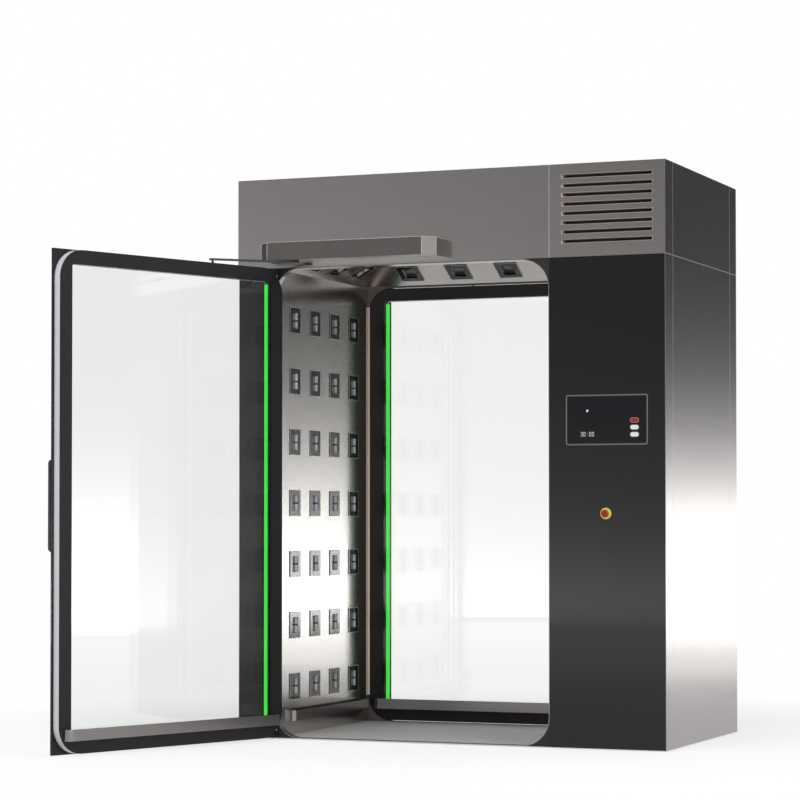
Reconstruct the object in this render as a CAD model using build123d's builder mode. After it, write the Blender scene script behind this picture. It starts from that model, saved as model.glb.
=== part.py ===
"""Walk-in cleanroom pass box: a two-door disinfection lock with swing-door operators.

Millimetres, +Z up.  The origin is the centre of the footprint, on the floor.  The front faces -Y.
The left of the cabinet is a hollow post, the middle is the chamber between two glass doors, and the
right is a column that holds the controls.  Front and rear are mirror images in the plane Y = 0.
The front door is modelled shut and then swung open; the rear door stays shut.
"""
from math import asin, atan2, cos, degrees, hypot, radians, sin, sqrt, tan
import os

from build123d import *

os.makedirs("parts", exist_ok=True)

# ---------------------------------------------------------------- driving dimensions: cabinet
cabinet_width = 1915.0
cabinet_depth = 1094.0
cabinet_height = 2400.0
post_width = 162.0
column_width = 497.0
fascia_height = 384.0
side_seam_above_fascia = 2.0
corner_strip_width = 108.0

sheet = 2.0
frame_sheet = 3.0
base_thickness = 4.0
cladding_depth = 12.0
seam = 2.0
flange = 18.0
glass_panel_thickness = 6.0

anchor_hole_radius = 7.0
anchor_inset = 60.0

# ---------------------------------------------------------------- driving dimensions: door leaf
pane_thickness = 8.0
pane_side_gap = 4.0
pane_top_gap = 4.0
pane_bottom_gap = 3.5
pane_lap = 3.0
liner = 2.0
opening_corner_radius = 118.0
leaf_gap = 4.0
leaf_thickness = 38.0
leaf_face = 3.0
seal_width = 8.0
stile_free = 62.0
stile_hinge = 67.0
rail_top = 57.0
rail_bottom = 75.0
window_corner_radius = 8.0
inner_glass_thickness = 6.0
inner_glass_bite = 14.0
glass_play = 0.5
led_width = 16.0
led_thickness = 5.0
led_inset = 14.0
led_top_gap = 14.0
door_open_angle = 110.4

hinge_inset = 7.5
pivot_pin_radius = 5.0
pivot_play = 0.05
lug_radius = 8.0
lug_height = 26.0
pivot_leaf = 3.0
pivot_leaf_width = 36.0
pivot_leaf_rise = 44.0
tip_play = 1.0

handle_length = 365.0
handle_centre_height = 992.0
handle_width = 24.0
handle_thickness = 12.0
handle_standoff = 46.0
handle_inset = 46.0
handle_post_radius = 8.0
handle_post_spacing = 285.0
handle_end_chamfer = 10.0

# ---------------------------------------------------------------- driving dimensions: bumper rails
bumper_height = 46.0
bumper_centre_height = 87.0
bumper_sheet = 3.0
bumper_projection = 34.0
bumper_bend = 26.0
bumper_front_inset = 165.0
bumper_rear_inset = 96.0
kick_projection = 28.0
kick_inset = 26.0

# ---------------------------------------------------------------- driving dimensions: door operator
operator_length = 800.0
operator_depth = 138.0
operator_height = 75.0
operator_left = 154.0
operator_above_fascia = 21.0
operator_chamfer = 47.0
operator_sheet = 2.5
spindle_from_hinge = 128.5
spindle_forward = 70.0
spindle_radius = 10.0
spindle_play = 0.06
arm_length = 365.0
arm_width = 30.0
arm_thickness = 7.0
arm_hub_radius = 18.0
arm_below_operator = 12.0
drive_length = 420.0
drive_width = 92.0
drive_height = 60.0
track_length = 440.0
track_width = 44.0
track_height = 24.0
track_wall = 3.0
track_slot = 14.0
shoe_length = 60.0
shoe_play = 0.6
shoe_pin_radius = 5.0
open_pivot_gap = 1.5

# ---------------------------------------------------------------- driving dimensions: lamps
lamp_width = 108.0
lamp_height = 114.0
lamp_bezel = 3.0
lamp_cutout_margin = 5.0
lamp_window_width = 60.0
lamp_window_height = 69.0
lamp_recess = 12.0
lamp_window_glass = 2.0
reflector_sheet = 3.0
reflector_split = 7.0
lamp_housing_depth = 50.0
lamp_housing_margin = 6.0
wall_lamp_rows = 7
wall_lamp_columns = 4
wall_lamp_end_margin = 205.5
wall_lamp_side_margin = 224.5
facet_angle = 29.0
facet_length = 194.0
soffit_depth = 100.0
end_facet_lamp_count = 4
end_facet_margin = 264.5
side_facet_lamp_count = 3
side_facet_margin = 227.0

# ---------------------------------------------------------------- driving dimensions: column fittings
screen_width = 350.0
screen_height = 206.0
screen_centre_from_right = 249.0
screen_centre_height = 1344.5
screen_bezel = 8.0
screen_bezel_proud = 2.5
screen_glass = 2.0
screen_corner_radius = 8.0
screen_housing_depth = 58.0
screen_housing_margin = 14.0
fitting_play = 0.5

stop_centre_from_right = 254.0
stop_centre_height = 962.0
stop_ring_radius = 23.5
stop_ring_thickness = 2.5
stop_collar_radius = 11.0
stop_stem_radius = 5.5
stop_cap_radius = 15.0
stop_cap_thickness = 14.0
stop_cap_edge = 4.0
stop_travel = 5.0
stop_clear = 1.0
stop_play = 0.08
stop_block_size = 36.0
stop_block_depth = 44.0

vent_slot_count = 8
vent_slot_width = 388.0
vent_slot_height = 15.0
vent_slot_pitch = 38.3
vent_channel_wall = 1.5
vent_channel_depth = 50.0
vent_centre_from_right = 249.0
vent_above_middle = 6.5
vent_duct_depth = 120.0
vent_duct_margin = 8.0
vent_filter_depth = 60.0
vent_filter_thickness = 14.0
fan_bore_radius = 112.0
fan_tip_gap = 3.0
fan_hub_radius = 38.0
fan_depth = 34.0
fan_blade_count = 7
fan_blade_thickness = 3.0
fan_blade_pitch_angle = 35.0
fan_blade_fill = 0.6
fan_shaft_radius = 5.0
fan_shaft_play = 0.06
fan_strut_width = 14.0
fan_strut_thickness = 4.0

control_plate_headroom = 312.0
control_plate_from_rear = 474.0
control_plate_gap = 10.0
control_plate_right_gap = 38.0

# ---------------------------------------------------------------- derived places
left_edge = -cabinet_width / 2
right_edge = cabinet_width / 2
front_face = -cabinet_depth / 2
post_edge = left_edge + post_width
fascia_bottom = cabinet_height - fascia_height
side_seam_height = fascia_bottom + side_seam_above_fascia
column_edge = right_edge - column_width

pane_left = post_edge + pane_side_gap
pane_right = column_edge - pane_side_gap
pane_bottom = base_thickness + pane_bottom_gap
pane_top = fascia_bottom - pane_top_gap
opening_left = pane_left + pane_lap
opening_right = pane_right - pane_lap
opening_bottom = base_thickness + liner
opening_top = fascia_bottom - pane_lap
opening_width = opening_right - opening_left
opening_height = opening_top - opening_bottom
opening_centre = ((opening_left + opening_right) / 2, (opening_bottom + opening_top) / 2)
leaf_width = opening_width - 2 * leaf_gap
leaf_height = opening_height - 2 * leaf_gap
leaf_left = opening_left + leaf_gap
leaf_right = opening_right - leaf_gap
leaf_bottom = opening_bottom + leaf_gap
leaf_top = opening_top - leaf_gap
leaf_radius = opening_corner_radius - leaf_gap
leaf_back = pane_thickness + leaf_thickness
jamb_back = leaf_back + liner

wall_left = opening_left - liner
wall_right = opening_right + liner
wall_front = cladding_depth + frame_sheet
soffit = opening_top + liner

window_left = leaf_left + stile_hinge
window_right = leaf_right - stile_free
window_bottom = leaf_bottom + rail_bottom
window_top = leaf_top - rail_top
window_width = window_right - window_left
window_height = window_top - window_bottom
window_centre = ((window_left + window_right) / 2, (window_bottom + window_top) / 2)

hinge_x = pane_left + hinge_inset
hinge_axis = Axis((hinge_x, front_face, 0), (0, 0, 1))
spindle_x = hinge_x + spindle_from_hinge
spindle_y = front_face - spindle_forward
operator_bottom = fascia_bottom + operator_above_fascia
arm_top = operator_bottom - open_pivot_gap
arm_bottom = arm_top - arm_thickness
track_top = leaf_top - tip_play
track_bottom = track_top - track_height

# Slide-arm geometry, in the leaf's own directions: along the leaf and out of its outer face.
shoe_line = track_width / 2
shut_arm_angle = degrees(asin((spindle_forward - shoe_line) / arm_length))
shut_reach = spindle_from_hinge + arm_length * cos(radians(shut_arm_angle))
open_turn = radians(door_open_angle)
spindle_along = spindle_from_hinge * cos(open_turn) + spindle_forward * sin(open_turn)
spindle_out = spindle_forward * cos(open_turn) - spindle_from_hinge * sin(open_turn)
open_out = shoe_line - spindle_out
open_along = sqrt(arm_length**2 - open_out**2)
open_reach = spindle_along + open_along
open_arm_angle = -degrees(atan2(open_out, open_along)) - door_open_angle
arm_swing = shut_arm_angle - open_arm_angle
shoe_travel = shut_reach - open_reach


def facing_front(depth):
    """Plane parallel to the front face and this deep behind it, looking out of the cabinet."""
    return Plane.XZ.offset(cabinet_depth / 2 - depth)


def from_front(depth):
    """Y of a place this deep behind the front face."""
    return front_face + depth


def save(shape, name):
    """Label a finished piece and write it as its own STEP file."""
    shape.label = name
    export_step(shape, f"parts/{name}.step")


def save_front_and_rear(shape, name):
    """Write a fixed piece at the front and its mirror image at the rear."""
    save(shape, f"front_{name}")
    save(mirror(shape, about=Plane.XZ), f"rear_{name}")


def save_leaf_piece(shape, name):
    """Write a piece of the door leaf: swung open at the front, shut at the rear."""
    save(shape.rotate(hinge_axis, -door_open_angle), f"front_{name}")
    save(mirror(shape, about=Plane.XZ), f"rear_{name}")


# ---------------------------------------------------------------- lamp places
def facet_plane(along, side):
    """Frame of a lamp on a sloping ceiling facet; side is front, rear, left or right."""
    slope = radians(facet_angle)
    run = cos(slope) * facet_length / 2
    height = soffit + sin(slope) * facet_length / 2
    middle_x = (wall_left + wall_right) / 2
    if side in ("front", "rear"):
        turn = 1 if side == "front" else -1
        origin = (middle_x + along, turn * (from_front(soffit_depth) + run), height)
        return Plane(origin, x_dir=(1, 0, 0), z_dir=(0, turn * sin(slope), -cos(slope)))
    turn, wall = (1, wall_left) if side == "left" else (-1, wall_right)
    origin = (wall + turn * run, along, height)
    return Plane(origin, x_dir=(0, 1, 0), z_dir=(turn * sin(slope), 0, -cos(slope)))


def spread(count, length, margin):
    """Places of a centred row that keeps this margin at both ends of a length."""
    pitch = (length - 2 * margin) / (count - 1)
    return [(i - (count - 1) / 2) * pitch for i in range(count)]


tray_length = wall_right - wall_left
tray_depth = cabinet_depth - 2 * soffit_depth
wall_lamp_places = [
    (y, opening_centre[1] + z)
    for z in spread(wall_lamp_rows, opening_height, wall_lamp_end_margin)
    for y in spread(wall_lamp_columns, cabinet_depth, wall_lamp_side_margin)
]
left_lamp_planes = [Plane((wall_left, y, z), x_dir=(0, 1, 0), z_dir=(1, 0, 0)) for y, z in wall_lamp_places]
right_lamp_planes = [
    Plane((wall_right, y, z), x_dir=(0, -1, 0), z_dir=(-1, 0, 0)) for y, z in wall_lamp_places
]
end_facet_row = spread(end_facet_lamp_count, tray_length, end_facet_margin)
side_facet_row = spread(side_facet_lamp_count, tray_depth, side_facet_margin)
ceiling_lamp_planes = [
    facet_plane(along, side)
    for sides, row in ((("front", "rear"), end_facet_row), (("left", "right"), side_facet_row))
    for side in sides
    for along in row
]
lamp_planes = left_lamp_planes + right_lamp_planes + ceiling_lamp_planes
cutout_width = lamp_width - 2 * lamp_cutout_margin
cutout_height = lamp_height - 2 * lamp_cutout_margin


# ================================================================ cabinet shell
def rectangle_between(x_low, x_high, z_low, z_high, mode=Mode.ADD):
    """Rectangle given by its edges, in the open sketch."""
    with Locations(((x_low + x_high) / 2, (z_low + z_high) / 2)):
        Rectangle(x_high - x_low, z_high - z_low, mode=mode)


with BuildPart() as base_plate:
    with BuildSketch():
        Rectangle(cabinet_width, cabinet_depth)
        for y in (front_face, -front_face):
            with Locations((hinge_x, y)):
                Circle(lug_radius)
        with GridLocations(cabinet_width - 2 * anchor_inset, cabinet_depth - 2 * anchor_inset, 2, 2):
            Circle(anchor_hole_radius, mode=Mode.SUBTRACT)
    extrude(amount=base_thickness)
save(base_plate.part, "base_plate")

with BuildPart() as left_wall:
    with BuildSketch(Plane.YZ.offset(wall_left)):
        rectangle_between(from_front(wall_front), -from_front(wall_front), base_thickness, soffit)
    extrude(amount=-sheet)
    with BuildSketch(*left_lamp_planes):
        Rectangle(cutout_width, cutout_height)
    extrude(amount=-sheet, mode=Mode.SUBTRACT)
save(left_wall.part, "left_wall")

with BuildPart() as right_wall:
    with BuildSketch(Plane.YZ.offset(wall_right)):
        rectangle_between(from_front(wall_front), -from_front(wall_front), base_thickness, soffit)
    extrude(amount=sheet)
    with BuildSketch(*right_lamp_planes):
        Rectangle(cutout_width, cutout_height)
    extrude(amount=-sheet, mode=Mode.SUBTRACT)
save(right_wall.part, "right_wall")

facet_rise = facet_length * sin(radians(facet_angle))
tray_lift = sheet / cos(radians(facet_angle))
tray_spread = tray_lift / tan(radians(facet_angle))
tray_middle = (wall_left + wall_right) / 2

with BuildPart() as ceiling_tray:
    with BuildSketch(Plane.XY.offset(soffit)):
        with Locations((tray_middle, 0)):
            Rectangle(tray_length + 2 * sheet, cabinet_depth - 2 * wall_front)
    extrude(amount=sheet)
    for spread_out, rise, mode in (
        (tray_spread, facet_rise + tray_lift, Mode.ADD),
        (0, facet_rise, Mode.SUBTRACT),
    ):
        with BuildSketch(Plane.XY.offset(soffit)):
            with Locations((tray_middle, 0)):
                Rectangle(tray_length + 2 * spread_out, tray_depth + 2 * spread_out)
        extrude(amount=rise, taper=90 - facet_angle, mode=mode)
    with BuildSketch(*ceiling_lamp_planes):
        Rectangle(cutout_width, cutout_height)
    extrude(amount=-2 * sheet, mode=Mode.SUBTRACT)
save(ceiling_tray.part, "ceiling_tray")


# ---------------------------------------------------------------- frames round the two doorways
screen_centre = (right_edge - screen_centre_from_right, screen_centre_height)
stop_centre = (right_edge - stop_centre_from_right, stop_centre_height)
vent_centre = (
    right_edge - vent_centre_from_right,
    (fascia_bottom + cabinet_height) / 2 + vent_above_middle,
)
screen_housing_width = screen_width - 2 * screen_housing_margin
screen_housing_height = screen_height - 2 * screen_housing_margin
duct_width = vent_slot_width + 2 * vent_duct_margin
duct_height = (vent_slot_count - 1) * vent_slot_pitch + vent_slot_height + 2 * vent_duct_margin
frame_top = cabinet_height - sheet

with BuildPart() as frame:
    with BuildSketch(facing_front(cladding_depth + frame_sheet)):
        rectangle_between(left_edge + sheet, right_edge - sheet, base_thickness, frame_top)
        with Locations(opening_centre):
            RectangleRounded(
                opening_width + 2 * liner,
                opening_height + 2 * liner,
                opening_corner_radius + liner,
                mode=Mode.SUBTRACT,
            )
        with Locations(screen_centre):
            Rectangle(
                screen_housing_width + 2 * fitting_play,
                screen_housing_height + 2 * fitting_play,
                mode=Mode.SUBTRACT,
            )
        with Locations(stop_centre):
            Circle(stop_collar_radius + fitting_play, mode=Mode.SUBTRACT)
        with Locations(vent_centre):
            Rectangle(duct_width + 2 * fitting_play, duct_height + 2 * fitting_play, mode=Mode.SUBTRACT)
    extrude(amount=frame_sheet)
save_front_and_rear(frame.part, "frame")

with BuildPart() as jamb_liner:
    with BuildSketch(facing_front(jamb_back)):
        with Locations(opening_centre):
            RectangleRounded(
                opening_width + 2 * liner, opening_height + 2 * liner, opening_corner_radius + liner
            )
            RectangleRounded(opening_width, opening_height, opening_corner_radius, mode=Mode.SUBTRACT)
    extrude(amount=jamb_back - cladding_depth)
    with BuildSketch(facing_front(jamb_back)):
        rectangle_between(wall_left, wall_right, base_thickness, soffit)
        with Locations(opening_centre):
            RectangleRounded(opening_width, opening_height, opening_corner_radius, mode=Mode.SUBTRACT)
    extrude(amount=sheet)
save_front_and_rear(jamb_liner.part, "jamb_liner")


# ---------------------------------------------------------------- outer cladding
def side_section(x_skin, inward, depth_low, depth_high, folds):
    """Plan of a folded side panel, in the open sketch: a flat skin with a flange at each fold."""
    with Locations((x_skin + inward * sheet / 2, (from_front(depth_low) + from_front(depth_high)) / 2)):
        Rectangle(sheet, depth_high - depth_low)
    for depth in folds:
        with Locations((x_skin + inward * (sheet + flange / 2), from_front(depth))):
            Rectangle(flange, sheet)


strip_edge = corner_strip_width - seam / 2
middle_edge = corner_strip_width + seam / 2
cladding_top = cabinet_height - sheet
side_levels = (
    (base_thickness, side_seam_height - seam / 2),
    (side_seam_height + seam / 2, cladding_top),
)
middle_folds = (middle_edge + sheet / 2, cabinet_depth - middle_edge - sheet / 2)
for side, x_skin, inward in (("left", left_edge, 1), ("right", right_edge, -1)):
    with BuildPart() as side_panels:
        for z_low, z_high in side_levels:
            with BuildSketch(Plane.XY.offset(z_low)):
                side_section(x_skin, inward, middle_edge, cabinet_depth - middle_edge, middle_folds)
            extrude(amount=z_high - z_low)
    save(side_panels.part, f"{side}_side_panels")

with BuildPart() as corner_strips:
    for z_low, z_high in side_levels:
        with BuildSketch(Plane.XY.offset(z_low)):
            for x_skin, inward in ((left_edge, 1), (right_edge, -1)):
                side_section(x_skin, inward, 0, strip_edge, (strip_edge - sheet / 2,))
                side_section(
                    x_skin,
                    inward,
                    cabinet_depth - strip_edge,
                    cabinet_depth,
                    (cabinet_depth - strip_edge + sheet / 2,),
                )
        extrude(amount=z_high - z_low)
save(corner_strips.part, "corner_strips")


def front_tray(x_low, x_high, z_low, z_high):
    """Folded tray of cladding on the front frame: a skin with a return round its back."""
    with BuildPart() as tray:
        with BuildSketch(facing_front(cladding_depth)):
            rectangle_between(x_low, x_high, z_low, z_high)
            rectangle_between(x_low + sheet, x_high - sheet, z_low + sheet, z_high - sheet, Mode.SUBTRACT)
        extrude(amount=cladding_depth)
        with BuildSketch(facing_front(sheet)):
            rectangle_between(x_low, x_high, z_low, z_high)
        extrude(amount=sheet)
    return tray.part


cladding_left = left_edge + sheet
cladding_right = right_edge - sheet
vent_edge = column_edge + seam / 2
for end, fascia_right in (("front", column_edge - seam / 2), ("rear", cladding_right)):
    fascia_tray = front_tray(cladding_left, fascia_right, fascia_bottom, cladding_top)
    with BuildPart() as fascia:
        add(fascia_tray)
        with BuildSketch(facing_front(cladding_depth)):
            with Locations((hinge_x - lug_radius - fitting_play, fascia_bottom)):
                Rectangle(pivot_leaf_width + 2 * fitting_play, sheet, align=(Align.MIN, Align.MIN))
        extrude(amount=pivot_leaf + fitting_play, mode=Mode.SUBTRACT)
    save(fascia.part if end == "front" else mirror(fascia.part, about=Plane.XZ), f"{end}_fascia")

vent_tray = front_tray(vent_edge, cladding_right, fascia_bottom, cladding_top)
# Each slot of the grille is a drawn channel, open at the back towards the filter.
with BuildPart() as vent_panel:
    add(vent_tray)
    with BuildSketch(facing_front(vent_channel_depth)):
        with Locations(vent_centre):
            with GridLocations(0, vent_slot_pitch, 1, vent_slot_count):
                Rectangle(
                    vent_slot_width + 2 * vent_channel_wall, vent_slot_height + 2 * vent_channel_wall
                )
    extrude(amount=vent_channel_depth)
    with BuildSketch(facing_front(vent_channel_depth)):
        with Locations(vent_centre):
            with GridLocations(0, vent_slot_pitch, 1, vent_slot_count):
                Rectangle(vent_slot_width, vent_slot_height)
    extrude(amount=vent_channel_depth, mode=Mode.SUBTRACT)
save(vent_panel.part, "vent_panel")

post_tray = front_tray(cladding_left, post_edge, base_thickness, fascia_bottom - seam)
with BuildPart() as post_panels:
    add(post_tray)
    mirror(about=Plane.XZ)
save(post_panels.part, "post_panels")

with BuildPart() as top_cover:
    with BuildSketch(Plane.XY.offset(cabinet_height - sheet)):
        Rectangle(cabinet_width, cabinet_depth)
    extrude(amount=sheet)
save(top_cover.part, "top_cover")

backing_inset = glass_panel_thickness
for end in ("front", "rear"):
    with BuildPart() as column_panel:
        for depth, inset in ((glass_panel_thickness, 0), (cladding_depth, backing_inset)):
            with BuildSketch(facing_front(depth)):
                rectangle_between(
                    vent_edge + inset,
                    cladding_right - inset,
                    base_thickness + inset,
                    fascia_bottom - seam - inset,
                )
                if end == "front":
                    with Locations(screen_centre):
                        Rectangle(
                            screen_housing_width + 2 * fitting_play,
                            screen_housing_height + 2 * fitting_play,
                            mode=Mode.SUBTRACT,
                        )
                    with Locations(stop_centre):
                        Circle(stop_collar_radius + fitting_play, mode=Mode.SUBTRACT)
            extrude(amount=glass_panel_thickness if inset == 0 else cladding_depth - glass_panel_thickness)
    shape = column_panel.part if end == "front" else mirror(column_panel.part, about=Plane.XZ)
    save(shape, f"column_{end}_panel")


# ---------------------------------------------------------------- door pivots and bumper rails
pivot_leaf_bottom = pane_top + tip_play / 2
with BuildPart() as pivot_brackets:
    with BuildSketch(Plane.XY.offset(pivot_leaf_bottom)):
        with Locations((hinge_x, front_face)):
            Circle(lug_radius)
        with Locations((hinge_x - lug_radius, front_face)):
            Rectangle(pivot_leaf_width, cladding_depth, align=(Align.MIN, Align.MIN))
    extrude(amount=pivot_leaf)
    with BuildSketch(facing_front(cladding_depth)):
        with Locations((hinge_x - lug_radius, pivot_leaf_bottom)):
            Rectangle(pivot_leaf_width, pivot_leaf_rise, align=(Align.MIN, Align.MIN))
    extrude(amount=pivot_leaf)
    with BuildSketch(Plane.XY.offset(pivot_leaf_bottom)):
        with Locations((hinge_x, front_face)):
            Circle(pivot_pin_radius)
    extrude(amount=-lug_height)
    with BuildSketch(Plane.XY.offset(base_thickness)):
        with Locations((hinge_x, front_face)):
            Circle(pivot_pin_radius)
    extrude(amount=lug_height)
    mirror(about=Plane.XZ)
save(pivot_brackets.part, "pivot_brackets")


bumper_bottom = bumper_centre_height - bumper_height / 2


def bent_rail(foot_a, foot_b, away):
    """Bumper rail of bent strip that leaves a surface, runs along it and returns to it."""
    with BuildPart() as rail:
        with BuildSketch(Plane.XY.offset(bumper_bottom)):
            with BuildLine():
                FilletPolyline(foot_a, foot_a + away, foot_b + away, foot_b, radius=bumper_bend)
            trace(line_width=bumper_sheet)
        extrude(amount=bumper_height)
    return rail.part


bumper_reach = Vector(bumper_projection - bumper_sheet / 2, 0)
bumper_front = from_front(bumper_front_inset)
bumper_rear = from_front(cabinet_depth - bumper_rear_inset)
left_rail = bent_rail(Vector(wall_left, bumper_front), Vector(wall_left, bumper_rear), bumper_reach)
right_rail = bent_rail(Vector(wall_right, bumper_front), Vector(wall_right, bumper_rear), -bumper_reach)
with BuildPart() as bumper_rails:
    add(left_rail)
    add(right_rail)
save(bumper_rails.part, "bumper_rails")


# ================================================================ lamps
with BuildPart() as lamp_bezels:
    with BuildSketch(*lamp_planes):
        Rectangle(lamp_width, lamp_height)
        Rectangle(lamp_window_width, lamp_window_height, mode=Mode.SUBTRACT)
    extrude(amount=lamp_bezel)
save(lamp_bezels.part, "lamp_bezels")

with BuildPart() as lamp_reflectors:
    with BuildSketch(*lamp_planes):
        for x in (-1, 1):
            for y in (-1, 1):
                with Locations(
                    (
                        x * (lamp_window_width + reflector_sheet) / 2,
                        y * (lamp_window_height + reflector_split) / 4,
                    )
                ):
                    Rectangle(reflector_sheet, (lamp_window_height - reflector_split) / 2)
    extrude(amount=-lamp_recess)
save(lamp_reflectors.part, "lamp_reflectors")

lamp_window_planes = [plane.offset(-lamp_recess) for plane in lamp_planes]
with BuildPart() as lamp_windows:
    with BuildSketch(*lamp_window_planes):
        Rectangle(lamp_window_width + 2 * reflector_sheet, lamp_window_height + 2 * reflector_sheet)
    extrude(amount=-lamp_window_glass)
save(lamp_windows.part, "lamp_windows")

with BuildPart() as lamp_housings:
    with BuildSketch(*[plane.offset(-lamp_window_glass) for plane in lamp_window_planes]):
        Rectangle(lamp_width - 2 * lamp_housing_margin, lamp_height - 2 * lamp_housing_margin)
    extrude(amount=-lamp_housing_depth)
save(lamp_housings.part, "lamp_housings")


# ================================================================ column fittings
with BuildPart() as screen_bezel_ring:
    with BuildSketch(facing_front(0)):
        with Locations(screen_centre):
            RectangleRounded(screen_width, screen_height, screen_corner_radius)
            Rectangle(
                screen_width - 2 * screen_bezel, screen_height - 2 * screen_bezel, mode=Mode.SUBTRACT
            )
    extrude(amount=screen_bezel_proud)
save(screen_bezel_ring.part, "screen_bezel")

with BuildPart() as screen:
    with BuildSketch(facing_front(0)):
        with Locations(screen_centre):
            Rectangle(
                screen_width - 2 * (screen_bezel + fitting_play),
                screen_height - 2 * (screen_bezel + fitting_play),
            )
    extrude(amount=screen_glass)
save(screen.part, "screen")

with BuildPart() as screen_housing:
    with BuildSketch(facing_front(screen_housing_depth)):
        with Locations(screen_centre):
            Rectangle(screen_housing_width, screen_housing_height)
    extrude(amount=screen_housing_depth)
save(screen_housing.part, "screen_housing")

# Emergency stop: a mushroom cap that latches when pushed and lets go when twisted.
stop_collar_back = cladding_depth + frame_sheet
stop_stem_front = stop_ring_thickness + stop_travel + stop_clear + stop_cap_thickness / 2
stop_stem_back = stop_collar_back + stop_block_depth / 2
with BuildPart() as stop_ring:
    with BuildSketch(facing_front(0)):
        with Locations(stop_centre):
            Circle(stop_ring_radius)
            Circle(stop_collar_radius, mode=Mode.SUBTRACT)
    extrude(amount=stop_ring_thickness)
    chamfer(stop_ring.faces().sort_by(Axis.Y)[0].outer_wire().edges(), length=stop_ring_thickness / 2)
save(stop_ring.part, "stop_ring")

with BuildPart() as stop_contact_block:
    with BuildSketch(facing_front(stop_collar_back + stop_block_depth)):
        with Locations(stop_centre):
            Rectangle(stop_block_size, stop_block_size)
    extrude(amount=stop_block_depth)
    with BuildSketch(facing_front(stop_collar_back)):
        with Locations(stop_centre):
            Circle(stop_collar_radius)
    extrude(amount=stop_collar_back + stop_ring_thickness)
    with BuildSketch(facing_front(-stop_ring_thickness)):
        with Locations(stop_centre):
            Circle(stop_stem_radius + stop_play)
    extrude(amount=-(stop_ring_thickness + stop_stem_back + stop_travel + stop_clear), mode=Mode.SUBTRACT)
save(stop_contact_block.part, "stop_contact_block")

with BuildPart() as stop_stem:
    with BuildSketch(facing_front(stop_stem_back)):
        with Locations(stop_centre):
            Circle(stop_stem_radius)
    extrude(amount=stop_stem_back + stop_stem_front)
save(stop_stem.part, "stop_stem")

stop_cap_back = stop_ring_thickness + stop_travel + stop_clear
with BuildPart() as stop_cap:
    with BuildSketch(facing_front(-stop_cap_back)):
        with Locations(stop_centre):
            Circle(stop_cap_radius)
    extrude(amount=stop_cap_thickness)
    chamfer(stop_cap.faces().sort_by(Axis.Y)[0].edges(), length=stop_cap_edge)
    chamfer(stop_cap.faces().sort_by(Axis.Y)[-1].edges(), length=stop_cap_edge / 3)
    with BuildSketch(facing_front(-stop_cap_back)):
        with Locations(stop_centre):
            Circle(stop_stem_radius + stop_play)
    extrude(amount=stop_cap_thickness / 2 + stop_clear, mode=Mode.SUBTRACT)
save(stop_cap.part, "stop_cap")

# Cooling fan behind the vent slots: a duct with a filter, and an axial fan on its back wall.
fan_back_wall = vent_duct_depth + fan_depth
strut_depth = fan_back_wall + fan_strut_thickness
with BuildPart() as fan_housing:
    with BuildSketch(facing_front(fan_back_wall)):
        with Locations(vent_centre):
            Rectangle(duct_width, duct_height)
            Rectangle(duct_width - 2 * sheet, duct_height - 2 * sheet, mode=Mode.SUBTRACT)
    extrude(amount=fan_back_wall - sheet)
    with BuildSketch(facing_front(fan_back_wall)):
        with Locations(vent_centre):
            Rectangle(duct_width, duct_height)
            Circle(fan_bore_radius, mode=Mode.SUBTRACT)
    extrude(amount=fan_depth)
    with BuildSketch(facing_front(strut_depth)):
        with Locations(vent_centre):
            Rectangle(2 * (fan_bore_radius + fan_strut_width), fan_strut_width)
            Rectangle(fan_strut_width, 2 * (fan_bore_radius + fan_strut_width))
            Circle(fan_hub_radius)
    extrude(amount=fan_strut_thickness)
    with BuildSketch(facing_front(fan_back_wall)):
        with Locations(vent_centre):
            Circle(fan_shaft_radius)
    extrude(amount=fan_depth * 0.8)
save(fan_housing.part, "fan_housing")

with BuildPart() as vent_filter:
    with BuildSketch(facing_front(vent_filter_depth + vent_filter_thickness)):
        with Locations(vent_centre):
            Rectangle(duct_width - 2 * sheet, duct_height - 2 * sheet)
    extrude(amount=vent_filter_thickness)
save(vent_filter.part, "vent_filter")

fan_hub_back = fan_back_wall - 2 * stop_clear
fan_hub_length = fan_depth - 4 * stop_clear
fan_axis_place = Vector(vent_centre[0], from_front(fan_hub_back), vent_centre[1])
blade_chord = fan_hub_length / sin(radians(fan_blade_pitch_angle)) * fan_blade_fill
blade_root = fan_hub_radius - fan_blade_thickness
blade_tip = fan_bore_radius - fan_tip_gap
with BuildPart() as fan_impeller:
    with BuildSketch(facing_front(fan_hub_back)):
        with Locations(vent_centre):
            Circle(fan_hub_radius)
            Circle(fan_shaft_radius + fan_shaft_play, mode=Mode.SUBTRACT)
    extrude(amount=fan_hub_length)
    for i in range(fan_blade_count):
        blade_middle = fan_axis_place + Vector(0, -fan_hub_length / 2, 0)
        spin = radians(360 * i / fan_blade_count)
        radial = Vector(cos(spin), 0, sin(spin))
        across = Vector(-sin(spin), 0, cos(spin)).rotate(
            Axis((0, 0, 0), radial), fan_blade_pitch_angle
        )
        with BuildSketch(Plane(blade_middle + radial * blade_root, x_dir=across, z_dir=radial)):
            Rectangle(blade_chord, fan_blade_thickness)
        extrude(amount=blade_tip - blade_root)
save(fan_impeller.part, "fan_impeller")

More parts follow.
